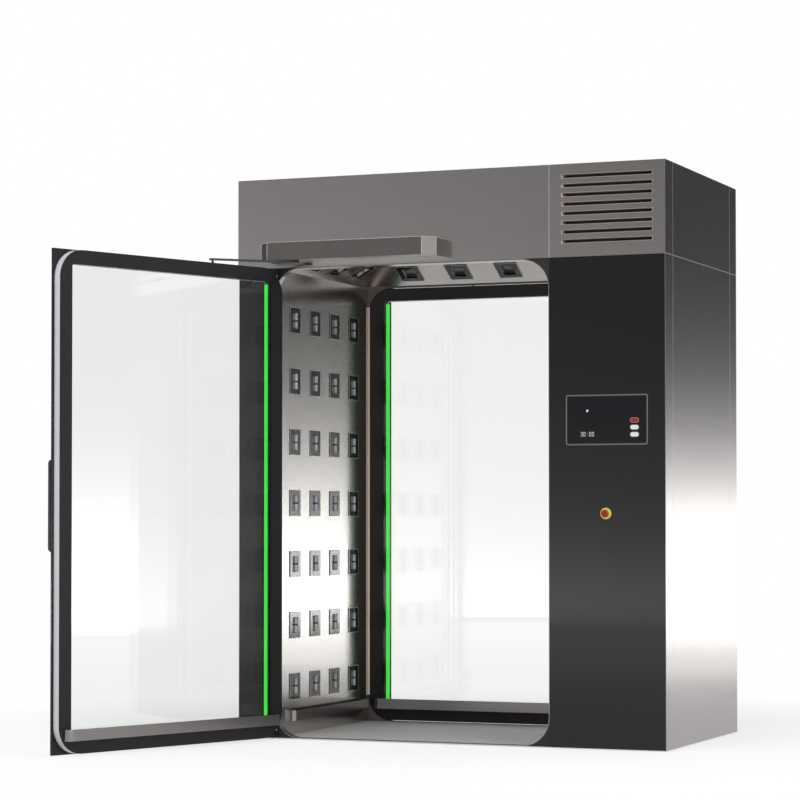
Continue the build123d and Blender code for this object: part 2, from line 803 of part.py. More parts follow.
# Electrical plate inside the column, standing on the base.  Each row of units gives the height of
# its middle, its count, and each unit's width, height and depth; all but the depth are shares of
# the plate.
plate_left = wall_right + lamp_recess + lamp_window_glass + lamp_housing_depth + control_plate_gap
plate_width = right_edge - control_plate_right_gap - plate_left
plate_height = fascia_bottom - control_plate_headroom - base_thickness
plate_depth = cabinet_depth - control_plate_from_rear
unit_rows = (
    (0.88, 2, 0.30, 0.10, 120.0),
    (0.72, 4, 0.17, 0.08, 95.0),
    (0.58, 4, 0.17, 0.08, 95.0),
    (0.42, 2, 0.38, 0.09, 75.0),
    (0.28, 1, 0.86, 0.03, 45.0),
)
with BuildPart() as control_panel:
    with BuildSketch(Plane.XY.offset(base_thickness)):
        with Locations((plate_left, from_front(plate_depth))):
            Rectangle(plate_width, sheet, align=(Align.MIN, Align.MAX))
            Rectangle(sheet, 4 * flange, align=(Align.MIN, Align.MIN))
    extrude(amount=plate_height)
    for height, count, width, tall, deep in unit_rows:
        with BuildSketch(facing_front(plate_depth - sheet)):
            with Locations(
                (
                    plate_left + plate_width / 2,
                    base_thickness + height * plate_height,
                )
            ):
                with GridLocations(plate_width * 0.92 / count, 0, count, 1):
                    Rectangle(plate_width * width, plate_height * tall)
        extrude(amount=deep)
save(control_panel.part, "control_panel")


# ================================================================ door operators
operator_right = operator_left + operator_length
operator_centre_x = left_edge + operator_left + operator_length / 2


def operator_corners(inset):
    """Plan of the operator case, with its two front corners cut off at 45 degrees."""
    half = operator_length / 2 - inset
    front = front_face - operator_depth + inset
    cut = operator_chamfer - inset * (2 - sqrt(2))
    return [
        (operator_centre_x - half, front_face),
        (operator_centre_x - half, front + cut),
        (operator_centre_x - half + cut, front),
        (operator_centre_x + half - cut, front),
        (operator_centre_x + half, front + cut),
        (operator_centre_x + half, front_face),
    ]


with BuildPart() as operator_case:
    with BuildSketch(Plane.XY.offset(operator_bottom)):
        with BuildLine():
            Polyline(*operator_corners(0), close=True)
        make_face()
    extrude(amount=operator_height)
    with BuildSketch(Plane.XY.offset(operator_bottom + operator_sheet)):
        with BuildLine():
            Polyline(*operator_corners(operator_sheet), close=True)
        make_face()
    extrude(amount=operator_height - 2 * operator_sheet, mode=Mode.SUBTRACT)
    with BuildSketch(Plane.XY.offset(operator_bottom)):
        with Locations((spindle_x, spindle_y)):
            Circle(arm_hub_radius + fitting_play)
    extrude(amount=operator_sheet, mode=Mode.SUBTRACT)
save_front_and_rear(operator_case.part, "operator_case")

drive_bottom = operator_bottom + operator_sheet
with BuildPart() as operator_drive:
    with BuildSketch(Plane.XY.offset(drive_bottom)):
        with Locations((spindle_x - drive_width / 2, front_face)):
            Rectangle(drive_length, spindle_forward + drive_width / 2, align=(Align.MIN, Align.MAX))
        with Locations((spindle_x, spindle_y)):
            Circle(spindle_radius + spindle_play, mode=Mode.SUBTRACT)
    extrude(amount=drive_height)
save_front_and_rear(operator_drive.part, "operator_drive")

arm_plane = Plane.XY.offset(arm_bottom)
with BuildPart() as arm:
    with BuildSketch(arm_plane):
        with Locations((spindle_x, spindle_y)):
            Circle(arm_hub_radius)
            with Locations(Location((0, 0), shut_arm_angle)):
                with Locations((arm_length / 2, 0)):
                    SlotCenterToCenter(arm_length, arm_width)
    extrude(amount=arm_thickness)
    with BuildSketch(arm_plane):
        with Locations((spindle_x, spindle_y)):
            Circle(spindle_radius)
    extrude(amount=drive_bottom + drive_height - arm_bottom - fitting_play)
arm_axis = Axis((spindle_x, spindle_y, 0), (0, 0, 1))
save(arm.part.rotate(arm_axis, -arm_swing), "front_arm")
save(mirror(arm.part, about=Plane.XZ), "rear_arm")


# ================================================================ door leaf, modelled shut
def leaf_outline(inset, mode=Mode.ADD):
    """Rounded outline of the leaf, drawn this far inside its edge."""
    with Locations(opening_centre):
        RectangleRounded(leaf_width - 2 * inset, leaf_height - 2 * inset, leaf_radius - inset, mode=mode)


def window_outline(outset, mode=Mode.ADD):
    """Rounded outline of the clear window, drawn this far outside its edge."""
    with Locations(window_centre):
        RectangleRounded(
            window_width + 2 * outset, window_height + 2 * outset, window_corner_radius + outset, mode=mode
        )


lug_block_width = hinge_x + 2 * lug_radius - pane_left
with BuildPart() as outer_glass:
    with BuildSketch(facing_front(pane_thickness)):
        rectangle_between(pane_left, pane_right, pane_bottom, pane_top)
        for z in (pane_bottom, pane_top - lug_height):
            rectangle_between(
                pane_left, pane_left + lug_block_width, z, z + lug_height, Mode.SUBTRACT
            )
    extrude(amount=pane_thickness)
save_leaf_piece(outer_glass.part, "outer_glass")

glass_back = leaf_back - leaf_face
carrier_back = pane_thickness + leaf_face
with BuildPart() as leaf_frame:
    with BuildSketch(facing_front(carrier_back)):
        rectangle_between(hinge_x, pane_right, pane_bottom, pane_top)
        window_outline(0, Mode.SUBTRACT)
    extrude(amount=leaf_face)
    with BuildSketch(facing_front(leaf_back)):
        leaf_outline(0)
        window_outline(0, Mode.SUBTRACT)
    extrude(amount=leaf_face)
    with BuildSketch(facing_front(glass_back)):
        leaf_outline(seal_width)
        window_outline(0, Mode.SUBTRACT)
    extrude(amount=glass_back - carrier_back)
    with BuildSketch(facing_front(glass_back)):
        window_outline(inner_glass_bite)
    extrude(amount=inner_glass_thickness + glass_play, mode=Mode.SUBTRACT)
    for z in (pane_bottom, pane_top - lug_height):
        with BuildSketch(Plane.XY.offset(z)):
            with Locations((hinge_x, front_face)):
                Circle(lug_radius)
            with Locations((pane_left, front_face)):
                Rectangle(lug_block_width, pane_thickness, align=(Align.MIN, Align.MIN))
            with Locations((hinge_x, front_face)):
                Circle(pivot_pin_radius + pivot_play, mode=Mode.SUBTRACT)
        extrude(amount=lug_height)
save_leaf_piece(leaf_frame.part, "leaf_frame")

with BuildPart() as leaf_seal:
    with BuildSketch(facing_front(glass_back)):
        leaf_outline(0)
        leaf_outline(seal_width, Mode.SUBTRACT)
    extrude(amount=glass_back - carrier_back)
save_leaf_piece(leaf_seal.part, "leaf_seal")

with BuildPart() as inner_glass:
    with BuildSketch(facing_front(glass_back)):
        window_outline(inner_glass_bite - glass_play)
    extrude(amount=inner_glass_thickness)
save_leaf_piece(inner_glass.part, "inner_glass")

led_left = window_left + led_inset
with BuildPart() as led_strip:
    with BuildSketch(facing_front(glass_back - inner_glass_thickness)):
        rectangle_between(led_left, led_left + led_width, window_bottom, window_top - led_top_gap)
    extrude(amount=led_thickness)
save_leaf_piece(led_strip.part, "led_strip")

kick_rail = bent_rail(
    Vector(leaf_left + kick_inset, from_front(leaf_back)),
    Vector(leaf_right - kick_inset, from_front(leaf_back)),
    Vector(0, kick_projection - bumper_sheet / 2),
)
save_leaf_piece(kick_rail, "kick_rail")

handle_x = pane_right - handle_inset
with BuildPart() as handle:
    with BuildSketch(facing_front(-handle_standoff)):
        with Locations((handle_x, handle_centre_height)):
            Rectangle(handle_width, handle_length)
    extrude(amount=handle_thickness)
    chamfer(
        handle.faces().sort_by(Axis.Y)[0].edges().filter_by(Axis.X), length=handle_end_chamfer
    )
    with BuildSketch(facing_front(0)):
        with Locations((handle_x, handle_centre_height)):
            with GridLocations(0, handle_post_spacing, 1, 2):
                Circle(handle_post_radius)
    extrude(amount=handle_standoff)
save_leaf_piece(handle.part, "handle")

track_start = hinge_x + (shut_reach + open_reach - track_length) / 2
track_end = track_start + track_length
with BuildPart() as closer_track:
    with BuildSketch(Plane.XY.offset(track_bottom)):
        with Locations((track_start, front_face)):
            Rectangle(track_length, track_width, align=(Align.MIN, Align.MAX))
    extrude(amount=track_height)
    with BuildSketch(Plane.XY.offset(track_bottom + track_wall)):
        with Locations((track_start + track_wall, front_face - track_wall)):
            Rectangle(
                track_length - 2 * track_wall, track_width - 2 * track_wall, align=(Align.MIN, Align.MAX)
            )
    extrude(amount=track_height - 2 * track_wall, mode=Mode.SUBTRACT)
    with BuildSketch(Plane.XY.offset(track_top - track_wall)):
        with Locations((track_start + track_wall, front_face - shoe_line)):
            Rectangle(track_length - 2 * track_wall, track_slot, align=(Align.MIN, Align.CENTER))
    extrude(amount=track_wall, mode=Mode.SUBTRACT)
save_leaf_piece(closer_track.part, "closer_track")

# The shoe that the arm's pin enters; the pivot between them is left open by open_pivot_gap.
with BuildPart() as shoe:
    with BuildSketch(Plane.XY.offset(track_bottom + track_wall + shoe_play)):
        with Locations((hinge_x + shut_reach, front_face - shoe_line)):
            RectangleRounded(shoe_length, track_width - 2 * (track_wall + shoe_play), track_wall)
    extrude(amount=track_height - 2 * (track_wall + shoe_play))
    with BuildSketch(Plane.XY.offset(track_bottom + track_wall + shoe_play)):
        with Locations((hinge_x + shut_reach, front_face - shoe_line)):
            Circle(shoe_pin_radius)
    extrude(amount=arm_bottom - open_pivot_gap - track_bottom - track_wall - shoe_play)
shoe_at_open = shoe.part.translate((-shoe_travel, 0, 0)).rotate(hinge_axis, -door_open_angle)
save(shoe_at_open, "front_shoe")
save(mirror(shoe.part, about=Plane.XZ), "rear_shoe")

print(f"arm swing {arm_swing:.2f} deg, ratio {arm_swing / door_open_angle:.5f}")
print(f"shoe travel {shoe_travel:.2f} mm, {shoe_travel / 1000 / open_turn:.6f} m per radian")
print(f"hinge {hinge_x:.2f} {front_face:.2f}; spindle {spindle_x:.2f} {spindle_y:.2f}")
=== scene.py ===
"""Looks of a walk-in cleanroom pass box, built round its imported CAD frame.

Metres, +Z up, in the frame's own coordinates: the origin is the centre of the footprint on the
floor and the front faces -Y.  Every finish is a small class that builds one node material, every
sub-assembly is a class that holds its sizes and builds its own pieces, and main() runs them in
order.
"""
from dataclasses import dataclass, field
from enum import Enum
import logging
import math

import bpy
import numpy as np
from numpy.typing import NDArray
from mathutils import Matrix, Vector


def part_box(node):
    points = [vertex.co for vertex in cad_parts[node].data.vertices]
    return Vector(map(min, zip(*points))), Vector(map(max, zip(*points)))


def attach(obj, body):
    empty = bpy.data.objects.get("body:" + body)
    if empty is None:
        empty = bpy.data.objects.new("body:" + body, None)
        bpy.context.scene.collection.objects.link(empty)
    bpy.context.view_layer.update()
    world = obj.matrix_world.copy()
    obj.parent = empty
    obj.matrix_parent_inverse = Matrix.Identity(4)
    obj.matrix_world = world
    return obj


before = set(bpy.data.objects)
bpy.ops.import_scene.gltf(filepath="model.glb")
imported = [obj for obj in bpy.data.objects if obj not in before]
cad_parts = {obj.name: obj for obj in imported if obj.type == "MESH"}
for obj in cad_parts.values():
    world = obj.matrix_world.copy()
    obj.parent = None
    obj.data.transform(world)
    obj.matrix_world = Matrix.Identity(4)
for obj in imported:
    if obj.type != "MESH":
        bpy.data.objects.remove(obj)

LOG = logging.getLogger("pass_box")
Array = NDArray[np.float64]
Colour = tuple[float, float, float]


# ================================================================ finishes
class Grain(Enum):
    """Direction in which a surface's fine marks run."""

    EVEN = "even"
    ALONG_X = "x"
    ALONG_Y = "y"
    ALONG_Z = "z"


class Tree:
    """Nodes of a material or of the world."""

    def __init__(self, tree: bpy.types.NodeTree) -> None:
        """Empty the node tree and keep it to be filled."""
        self.tree = tree
        tree.nodes.clear()

    def node(self, kind: str, **settings: object) -> bpy.types.Node:
        """Add a node.

        Args:
            kind: Blender's name of the node type, without its "ShaderNode" prefix.
            settings: attributes of the node, such as operation.

        Returns:
            The new node.
        """
        node = self.tree.nodes.new("ShaderNode" + kind)
        for key, value in settings.items():
            setattr(node, key, value)
        return node

    def join(self, source: bpy.types.NodeSocket, target: bpy.types.NodeSocket) -> None:
        """Link an output to an input."""
        self.tree.links.new(source, target)

    def graded(
        self, value: bpy.types.NodeSocket, stops: tuple[tuple[float, float], ...]
    ) -> bpy.types.NodeSocket:
        """Grey level that follows a value.

        Args:
            value: the value that is read.
            stops: value and level of each stop, lowest first; past the ends the level holds.

        Returns:
            The colour output.
        """
        low, high = stops[0][0], stops[-1][0]
        reach = self.node("MapRange")
        reach.inputs["From Min"].default_value = low
        reach.inputs["From Max"].default_value = high
        self.join(value, reach.inputs["Value"])
        ramp = self.node("ValToRGB")
        elements = ramp.color_ramp.elements
        while len(elements) < len(stops):
            elements.new(0.5)
        for element, (place, level) in zip(elements, stops):
            element.position = (place - low) / (high - low)
            element.color = (level, level, level, 1)
        self.join(reach.outputs["Result"], ramp.inputs["Fac"])
        return ramp.outputs["Color"]

    def mixed(
        self,
        share: bpy.types.NodeSocket | float,
        first: bpy.types.NodeSocket | tuple[float, ...],
        second: bpy.types.NodeSocket | tuple[float, ...],
        blend: str = "MIX",
    ) -> bpy.types.NodeSocket:
        """Mix two colours.

        Args:
            share: share of the second colour.
            first: colour, or the output that gives it.
            second: colour, or the output that gives it.
            blend: how the two are mixed.

        Returns:
            The colour output.
        """
        mix = self.node("Mix", data_type="RGBA", blend_type=blend, clamp_result=False)
        for number, value in ((0, share), (6, first), (7, second)):
            if isinstance(value, bpy.types.NodeSocket):
                self.join(value, mix.inputs[number])
            else:
                mix.inputs[number].default_value = value
        return mix.outputs[2]

    def layered(
        self, share: bpy.types.NodeSocket, first: bpy.types.Node, second: bpy.types.Node
    ) -> bpy.types.Node:
        """Mix two shaders.

        Args:
            share: share of the second shader.
            first: shader node.
            second: shader node.

        Returns:
            The mixing node.
        """
        mix = self.node("MixShader")
        self.join(share, mix.inputs[0])
        self.join(first.outputs[0], mix.inputs[1])
        self.join(second.outputs[0], mix.inputs[2])
        return mix

    def bounced(self, kind: str) -> bpy.types.NodeSocket:
        """Whether a ray has bounced on its way here.

        Args:
            kind: "Glossy" or "Diffuse".

        Returns:
            1 for such a ray, else 0.
        """
        test = self.node("Math", operation="GREATER_THAN")
        test.inputs[1].default_value = 0.5
        self.join(self.node("LightPath").outputs[f"{kind} Depth"], test.inputs[0])
        return test.outputs[0]


class Shader(Tree):
    """Node tree of one material, with short calls to add and join nodes."""

    def __init__(self, name: str) -> None:
        """Start an empty material.

        Args:
            name: the material's name.
        """
        self.material = bpy.data.materials.new(name)
        self.material.use_nodes = True
        super().__init__(self.material.node_tree)
        self.output = self.tree.nodes.new("ShaderNodeOutputMaterial")

    def place(self, scale: tuple[float, float, float]) -> bpy.types.NodeSocket:
        """Object coordinates, scaled along each axis.

        Args:
            scale: factor along X, Y and Z.

        Returns:
            The vector output.
        """
        where = self.node("TexCoord")
        mapping = self.node("Mapping")
        mapping.inputs["Scale"].default_value = scale
        self.join(where.outputs["Object"], mapping.inputs["Vector"])
        return mapping.outputs["Vector"]

    def noise(
        self, scale: tuple[float, float, float], detail: float = 2.0
    ) -> bpy.types.NodeSocket:
        """Noise value from 0 to 1 in object space.

        Args:
            scale: cells per metre along X, Y and Z.
            detail: octaves of finer noise.

        Returns:
            The noise output.
        """
        texture = self.node("TexNoise")
        texture.inputs["Scale"].default_value = 1.0
        texture.inputs["Detail"].default_value = detail
        self.join(self.place(scale), texture.inputs["Vector"])
        return texture.outputs["Fac"]

    def spread(
        self, value: bpy.types.NodeSocket, low: float, high: float
    ) -> bpy.types.NodeSocket:
        """Map the middle of a noise value to a range.

        Args:
            value: a noise output, mostly between 0.3 and 0.7.
            low: result at 0.3.
            high: result at 0.7.

        Returns:
            The mapped value.
        """
        ranged = self.node("MapRange")
        ranged.inputs["From Min"].default_value = 0.3
        ranged.inputs["From Max"].default_value = 0.7
        ranged.inputs["To Min"].default_value = low
        ranged.inputs["To Max"].default_value = high
        self.join(value, ranged.inputs["Value"])
        return ranged.outputs["Result"]

    def tint(self, colour: Colour, share: float, value: bpy.types.NodeSocket) -> bpy.types.NodeSocket:
        """Colour that drifts a little darker and lighter with a noise value.

        Args:
            colour: middle colour.
            share: how far it drifts, as a share of the colour.
            value: noise from 0 to 1.

        Returns:
            The colour output.
        """
        mix = self.node("Mix", data_type="RGBA")
        mix.inputs[6].default_value = (*(c * (1 - share) for c in colour), 1)
        mix.inputs[7].default_value = (*(min(1, c * (1 + share)) for c in colour), 1)
        self.join(value, mix.inputs[0])
        return mix.outputs[2]


@dataclass(frozen=True)
class Finish:
    """A solid surface finish: colour, sheen and the fine marks on it."""

    name: str
    colour: Colour
    roughness: float = 0.4
    metallic: float = 0.0
    grain: Grain = Grain.EVEN
    grain_pitch: float = 0.002
    grain_share: float = 0.08
    grain_height: float = 0.006
    drift: float = 0.04
    drift_size: float = 0.35
    coat: float = 0.0
    specular: float = 0.5

    def grain_scale(self) -> tuple[float, float, float]:
        """Cells per metre of the fine marks, drawn out along the grain."""
        across, along = 1 / self.grain_pitch, 1 / (self.grain_pitch * 120)
        if self.grain is Grain.EVEN:
            return (across, across, across)
        return tuple(along if axis == self.grain.value else across for axis in "xyz")

    def material(self) -> bpy.types.Material:
        """Build the node material.

        Returns:
            The material, with noise in its colour, roughness and height.
        """
        shader = Shader(self.name)
        body = shader.node("BsdfPrincipled")
        body.inputs["Metallic"].default_value = self.metallic
        body.inputs["Coat Weight"].default_value = self.coat
        body.inputs["Coat Roughness"].default_value = 0.03
        body.inputs["Specular IOR Level"].default_value = self.specular
        cloud = shader.noise((1 / self.drift_size,) * 3)
        shader.join(shader.tint(self.colour, self.drift, cloud), body.inputs["Base Color"])
        marks = shader.noise(self.grain_scale(), detail=1.0)
        low, high = self.roughness * (1 - self.grain_share), self.roughness * (1 + self.grain_share)
        shader.join(shader.spread(marks, low, high), body.inputs["Roughness"])
        bump = shader.node("Bump")
        bump.inputs["Strength"].default_value = self.grain_height
        bump.inputs["Distance"].default_value = self.grain_pitch * 0.2
        shader.join(marks, bump.inputs["Height"])
        shader.join(bump.outputs["Normal"], body.inputs["Normal"])
        self.glow(shader, body)
        shader.join(body.outputs["BSDF"], shader.output.inputs["Surface"])
        return shader.material

    def glow(self, shader: Shader, body: bpy.types.Node) -> None:
        """Leave the surface unlit from within.

        Args:
            shader: the node tree.
            body: the Principled node.
        """


@dataclass(frozen=True)
class LitDiffuser(Finish):
    """A plastic diffuser that glows in its own colour."""

    light: Colour = (0.02, 0.9, 0.02)
    strength: float = 1.0
    mirrored: float = 1.0

    def glow(self, shader: Shader, body: bpy.types.Node) -> None:
        """Add the light to the body, weaker where something mirrors it.

        Args:
            shader: the node tree.
            body: the Principled node.
        """
        body.inputs["Emission Color"].default_value = (*self.light, 1)
        body.inputs["Emission Strength"].default_value = self.strength
        if self.mirrored < 1.0:
            path = shader.node("LightPath")
            level = shader.node("MapRange")
            level.inputs["To Min"].default_value = self.strength
            level.inputs["To Max"].default_value = self.strength * self.mirrored
            shader.join(path.outputs["Glossy Depth"], level.inputs["Value"])
            shader.join(level.outputs["Result"], body.inputs["Emission Strength"])
            shader.material.cycles.emission_sampling = "NONE"


@dataclass(frozen=True)
class ClearGlass:
    """Float glass that lets lamps and soft light through."""

    name: str
    colour: Colour
    smear: float = 0.012

    def material(self) -> bpy.types.Material:
        """Build the node material.

        Returns:
            Glass with faint wipe marks, clear to shadow and diffuse rays.
        """
        shader = Shader(self.name)
        glass = shader.node("BsdfPrincipled")
        glass.inputs["Transmission Weight"].default_value = 1.0
        glass.inputs["IOR"].default_value = 1.45
        glass.inputs["Base Color"].default_value = (*self.colour, 1)
        wipes = shader.noise((3.0, 3.0, 9.0), detail=3.0)
        shader.join(shader.spread(wipes, 0.0, self.smear), glass.inputs["Roughness"])
        clear = shader.node("BsdfTransparent")
        clear.inputs["Color"].default_value = (*self.colour, 1)
        path = shader.node("LightPath")
        either = shader.node("Math", operation="MAXIMUM")
        shader.join(path.outputs["Is Shadow Ray"], either.inputs[0])
        shader.join(path.outputs["Is Diffuse Ray"], either.inputs[1])
        mix = shader.layered(either.outputs[0], glass, clear)
        shader.join(mix.outputs["Shader"], shader.output.inputs["Surface"])
        return shader.material


STEEL = (0.61, 0.58, 0.57)
DARK_STEEL = (0.235, 0.222, 0.213)
CLADDING_X = Finish("cladding_steel_x", STEEL, 0.15, 1.0, Grain.ALONG_X)
CLADDING_Y = Finish("cladding_steel_y", STEEL, 0.15, 1.0, Grain.ALONG_Y)
OPERATOR_STEEL = Finish("operator_steel", DARK_STEEL, 0.24, 1.0, Grain.ALONG_X)
CHAMBER_STEEL = Finish("chamber_steel", (0.64, 0.605, 0.585), 0.18, 1.0, Grain.ALONG_Y)
CEILING_STEEL = Finish("ceiling_steel", (0.84, 0.79, 0.76), 0.20, 1.0, Grain.ALONG_Y)
JAMB_STEEL = Finish("jamb_steel", (0.60, 0.57, 0.56), 0.20, 1.0, Grain.ALONG_X)
# A near-black copy of the jamb steel for the rear doorway: painted shade.
JAMB_PAINTED_SHADE = Finish("jamb_painted_shade", (0.100, 0.090, 0.086), 0.15, specular=0.6)
FLOOR_STEEL = Finish("floor_steel", (0.74, 0.735, 0.73), 0.48, 0.45, Grain.ALONG_X)
# Matt tan, not metallic: paints the reflection of the doors' pale seal on the strips beside the doorways.
LIP_PAINTED_REFLECTION = Finish("lip_painted_reflection", (0.90, 0.76, 0.66), 0.45, 0.0, Grain.ALONG_Z)
RAIL_STEEL = Finish("rail_steel", (0.39, 0.37, 0.36), 0.24, 1.0, Grain.ALONG_X)
# Pale strips that paint the highlights of folded and rolled edges: the seams and the operator cases.
PAINTED_EDGE_HIGHLIGHT = Finish("painted_edge_highlight", (0.52, 0.50, 0.49), 0.30, 0.5)
# Dark strips at the cabinet's right corners: painted shade.
PAINTED_CORNER_SHADE = Finish("painted_corner_shade", (0.17, 0.162, 0.158), 0.40, 0.4)
RIM_STEEL = Finish("rim_steel", (0.50, 0.49, 0.485), 0.38, 0.7)
BLACK_PAINT = Finish("black_paint", (0.020, 0.020, 0.0205), 0.34, specular=0.4)
LEAF_PAINT = Finish("leaf_paint", (0.011, 0.011, 0.0115), 0.38, specular=0.35)
BLACK_GLASS = Finish("black_glass", (0.0075, 0.0075, 0.0082), 0.07, grain_share=0.3, grain_height=0.0)
PANE = ClearGlass("clear_pane", (0.97, 0.98, 0.975))
SEAL = Finish("pale_seal", (0.56, 0.57, 0.61), 0.45, grain_pitch=0.0008)
GREEN_LIGHT = LitDiffuser(
    "green_light", (0.004, 0.04, 0.004), 0.35, light=(0.045, 0.76, 0.055), mirrored=0.07
)
SPACER_METAL = Finish("spacer_metal", (0.78, 0.78, 0.78), 0.26, 0.9, Grain.ALONG_Z)
DARK_METAL = Finish("dark_metal", (0.030, 0.030, 0.031), 0.35, 0.3)
SLIDE_PLASTIC = Finish("slide_plastic", (0.03, 0.03, 0.03), 0.5)
CAST_METAL = Finish("cast_metal", (0.50, 0.51, 0.52), 0.45, 1.0, grain_height=0.2)
LAMP_BLACK = Finish("lamp_black", (0.008, 0.008, 0.010), 0.05, coat=0.5, specular=0.6)
REFLECTOR = Finish("reflector_polish", (0.93, 0.93, 0.94), 0.30, 0.25)
FILTER_GLASS = Finish("filter_glass", (0.060, 0.058, 0.064), 0.05, coat=0.5, specular=0.6)
CASE_PLASTIC = Finish("case_plastic", (0.08, 0.08, 0.085), 0.5)
BEZEL_BLACK = Finish("bezel_black", (0.012, 0.012, 0.013), 0.30)
BEZEL_LINE = Finish("bezel_line", (0.16, 0.16, 0.165), 0.35, 0.4)
SCREEN_FACE = Finish("screen_face", (0.0045, 0.005, 0.0065), 0.10, specular=0.35)
STOP_YELLOW = Finish("stop_yellow", (0.60, 0.50, 0.045), 0.40, coat=0.1)
STOP_RED = Finish("stop_red", (0.22, 0.006, 0.008), 0.36, coat=0.1)
VENT_TAN = Finish("vent_tan", (0.48, 0.40, 0.35), 0.38, 0.5)
VENT_END = Finish("vent_end", (0.95, 0.74, 0.62), 0.5)
VENT_BROWN = Finish("vent_brown", (0.26, 0.21, 0.19), 0.6)
DUCT_METAL = Finish("duct_metal", (0.20, 0.16, 0.14), 0.45, 0.6)
FILTER_CLOTH = Finish("filter_cloth", (0.10, 0.080, 0.070), 0.85, grain_pitch=0.003, grain_height=0.6)
UNIT_GREY = Finish("unit_grey", (0.35, 0.35, 0.35), 0.5)
SCREEN_WHITE = LitDiffuser("screen_white", (0.08, 0.08, 0.08), 0.4, light=(0.63, 0.635, 0.66))
SCREEN_GREY = LitDiffuser("screen_grey", (0.05, 0.05, 0.05), 0.4, light=(0.22, 0.22, 0.23))
SCREEN_RED = LitDiffuser("screen_red", (0.04, 0.003, 0.003), 0.4, light=(0.25, 0.008, 0.012))
SCREEN_PINK = LitDiffuser("screen_pink", (0.05, 0.03, 0.03), 0.4, light=(0.36, 0.15, 0.15))

NODE_FINISHES: dict[Finish | ClearGlass, tuple[str, ...]] = {
    CLADDING_X: ("front_fascia", "rear_fascia", "vent_panel", "top_cover"),
    CLADDING_Y: ("left_side_panels", "right_side_panels", "corner_strips"),
    OPERATOR_STEEL: ("front_operator_case", "rear_operator_case"),
    CHAMBER_STEEL: ("left_wall", "right_wall"),
    CEILING_STEEL: ("ceiling_tray",),
    JAMB_STEEL: ("front_jamb_liner",),
    # The rear jamb liner takes the dark copy: painted shade in the rear doorway.
    JAMB_PAINTED_SHADE: ("rear_jamb_liner",),
    FLOOR_STEEL: ("base_plate",),
    RAIL_STEEL: ("front_kick_rail", "rear_kick_rail", "bumper_rails"),
    BLACK_PAINT: ("front_frame", "rear_frame", "post_panels"),
    LEAF_PAINT: ("front_leaf_frame", "rear_leaf_frame"),
    BLACK_GLASS: ("column_front_panel", "column_rear_panel"),
    PANE: ("front_outer_glass", "rear_outer_glass", "front_inner_glass", "rear_inner_glass"),
    SEAL: ("front_leaf_seal", "rear_leaf_seal"),
    GREEN_LIGHT: ("front_led_strip", "rear_led_strip"),
    DARK_METAL: (
        "front_handle", "rear_handle", "front_arm", "rear_arm", "pivot_brackets",
        "front_closer_track", "rear_closer_track",
    ),
    SLIDE_PLASTIC: ("front_shoe", "rear_shoe"),
    CAST_METAL: ("front_operator_drive", "rear_operator_drive"),
    LAMP_BLACK: ("lamp_bezels",),
    REFLECTOR: ("lamp_reflectors",),
    FILTER_GLASS: ("lamp_windows",),
    CASE_PLASTIC: ("lamp_housings", "screen_housing", "stop_contact_block", "stop_stem", "fan_impeller"),
    BEZEL_BLACK: ("screen_bezel",),
    SCREEN_FACE: ("screen",),
    STOP_YELLOW: ("stop_ring",),
    STOP_RED: ("stop_cap",),
    DUCT_METAL: ("fan_housing",),
    FILTER_CLOTH: ("vent_filter",),
    UNIT_GREY: ("control_panel",),
}


# ================================================================ meshes
@dataclass
class Maker:
    """Turns point arrays into finished pieces that ride on a body."""

    built: dict[str, bpy.types.Material] = field(default_factory=dict)

    def material(self, finish: Finish | ClearGlass) -> bpy.types.Material:
        """Material of a finish, built once.

        Args:
            finish: the finish.

        Returns:
            Its node material.
        """
        if finish.name not in self.built:
            self.built[finish.name] = finish.material()
        return self.built[finish.name]

    def piece(
        self,
        name: str,
        points: Array,
        faces: list[list[int]] | NDArray[np.int64],
        finish: Finish,
        body: str,
    ) -> bpy.types.Object:
        """Make a mesh object and hang it on a body.

        Args:
            name: name of the piece.
            points: N x 3 places in metres.
            faces: corner numbers of every face.
            finish: its surface finish.
            body: the CAD body that it moves with.

        Returns:
            The new object.
        """
        mesh = bpy.data.meshes.new(name)
        mesh.from_pydata(points, [], np.asarray(faces).tolist() if isinstance(faces, np.ndarray) else faces)
        mesh.materials.append(self.material(finish))
        mesh.validate()
        thing = bpy.data.objects.new(name, mesh)
        bpy.context.scene.collection.objects.link(thing)
        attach(thing, body)
        LOG.info("%s rides on %s with %d faces", name, body, len(faces))
        return thing

    def dress_frame(self) -> None:
        """Give every CAD node its finish."""
        for finish, names in NODE_FINISHES.items():
            for name in names:
                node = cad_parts[name]
                node.data.materials.clear()
                node.data.materials.append(self.material(finish))
        LOG.info("dressed %d frame nodes", sum(len(names) for names in NODE_FINISHES.values()))


def carried(section: Array, path: Array, side: Array, rise: Array) -> tuple[Array, NDArray[np.int64]]:
    """Closed section carried round a closed path.

    Point (i, j) is path i plus section j's first value along the path's side direction and its
    second value along the rise direction.

    Args:
        section: S x 2 corners of the section, anticlockwise about the direction of travel.
        path: P x 3 places of a closed path.
        side: P x 3 direction across the path at each place.
        rise: direction of the section's second value.

    Returns:
        The points and the four-cornered faces of the closed skin.
    """
    points = path[:, None] + section[None, :, :1] * side[:, None] + section[None, :, 1:] * rise
    count, corners = len(path), len(section)
    i, j = np.meshgrid(np.arange(count), np.arange(corners), indexing="ij")
    k, m = (i + 1) % count, (j + 1) % corners
    faces = np.stack([i * corners + j, k * corners + j, k * corners + m, i * corners + m], -1)
    return points.reshape(-1, 3), faces.reshape(-1, 4)


def centred(count: int, pitch: float) -> Array:
    """Places of a row of count, a pitch apart and centred on zero, lowest first."""
    return (np.arange(count) - (count - 1) / 2) * pitch


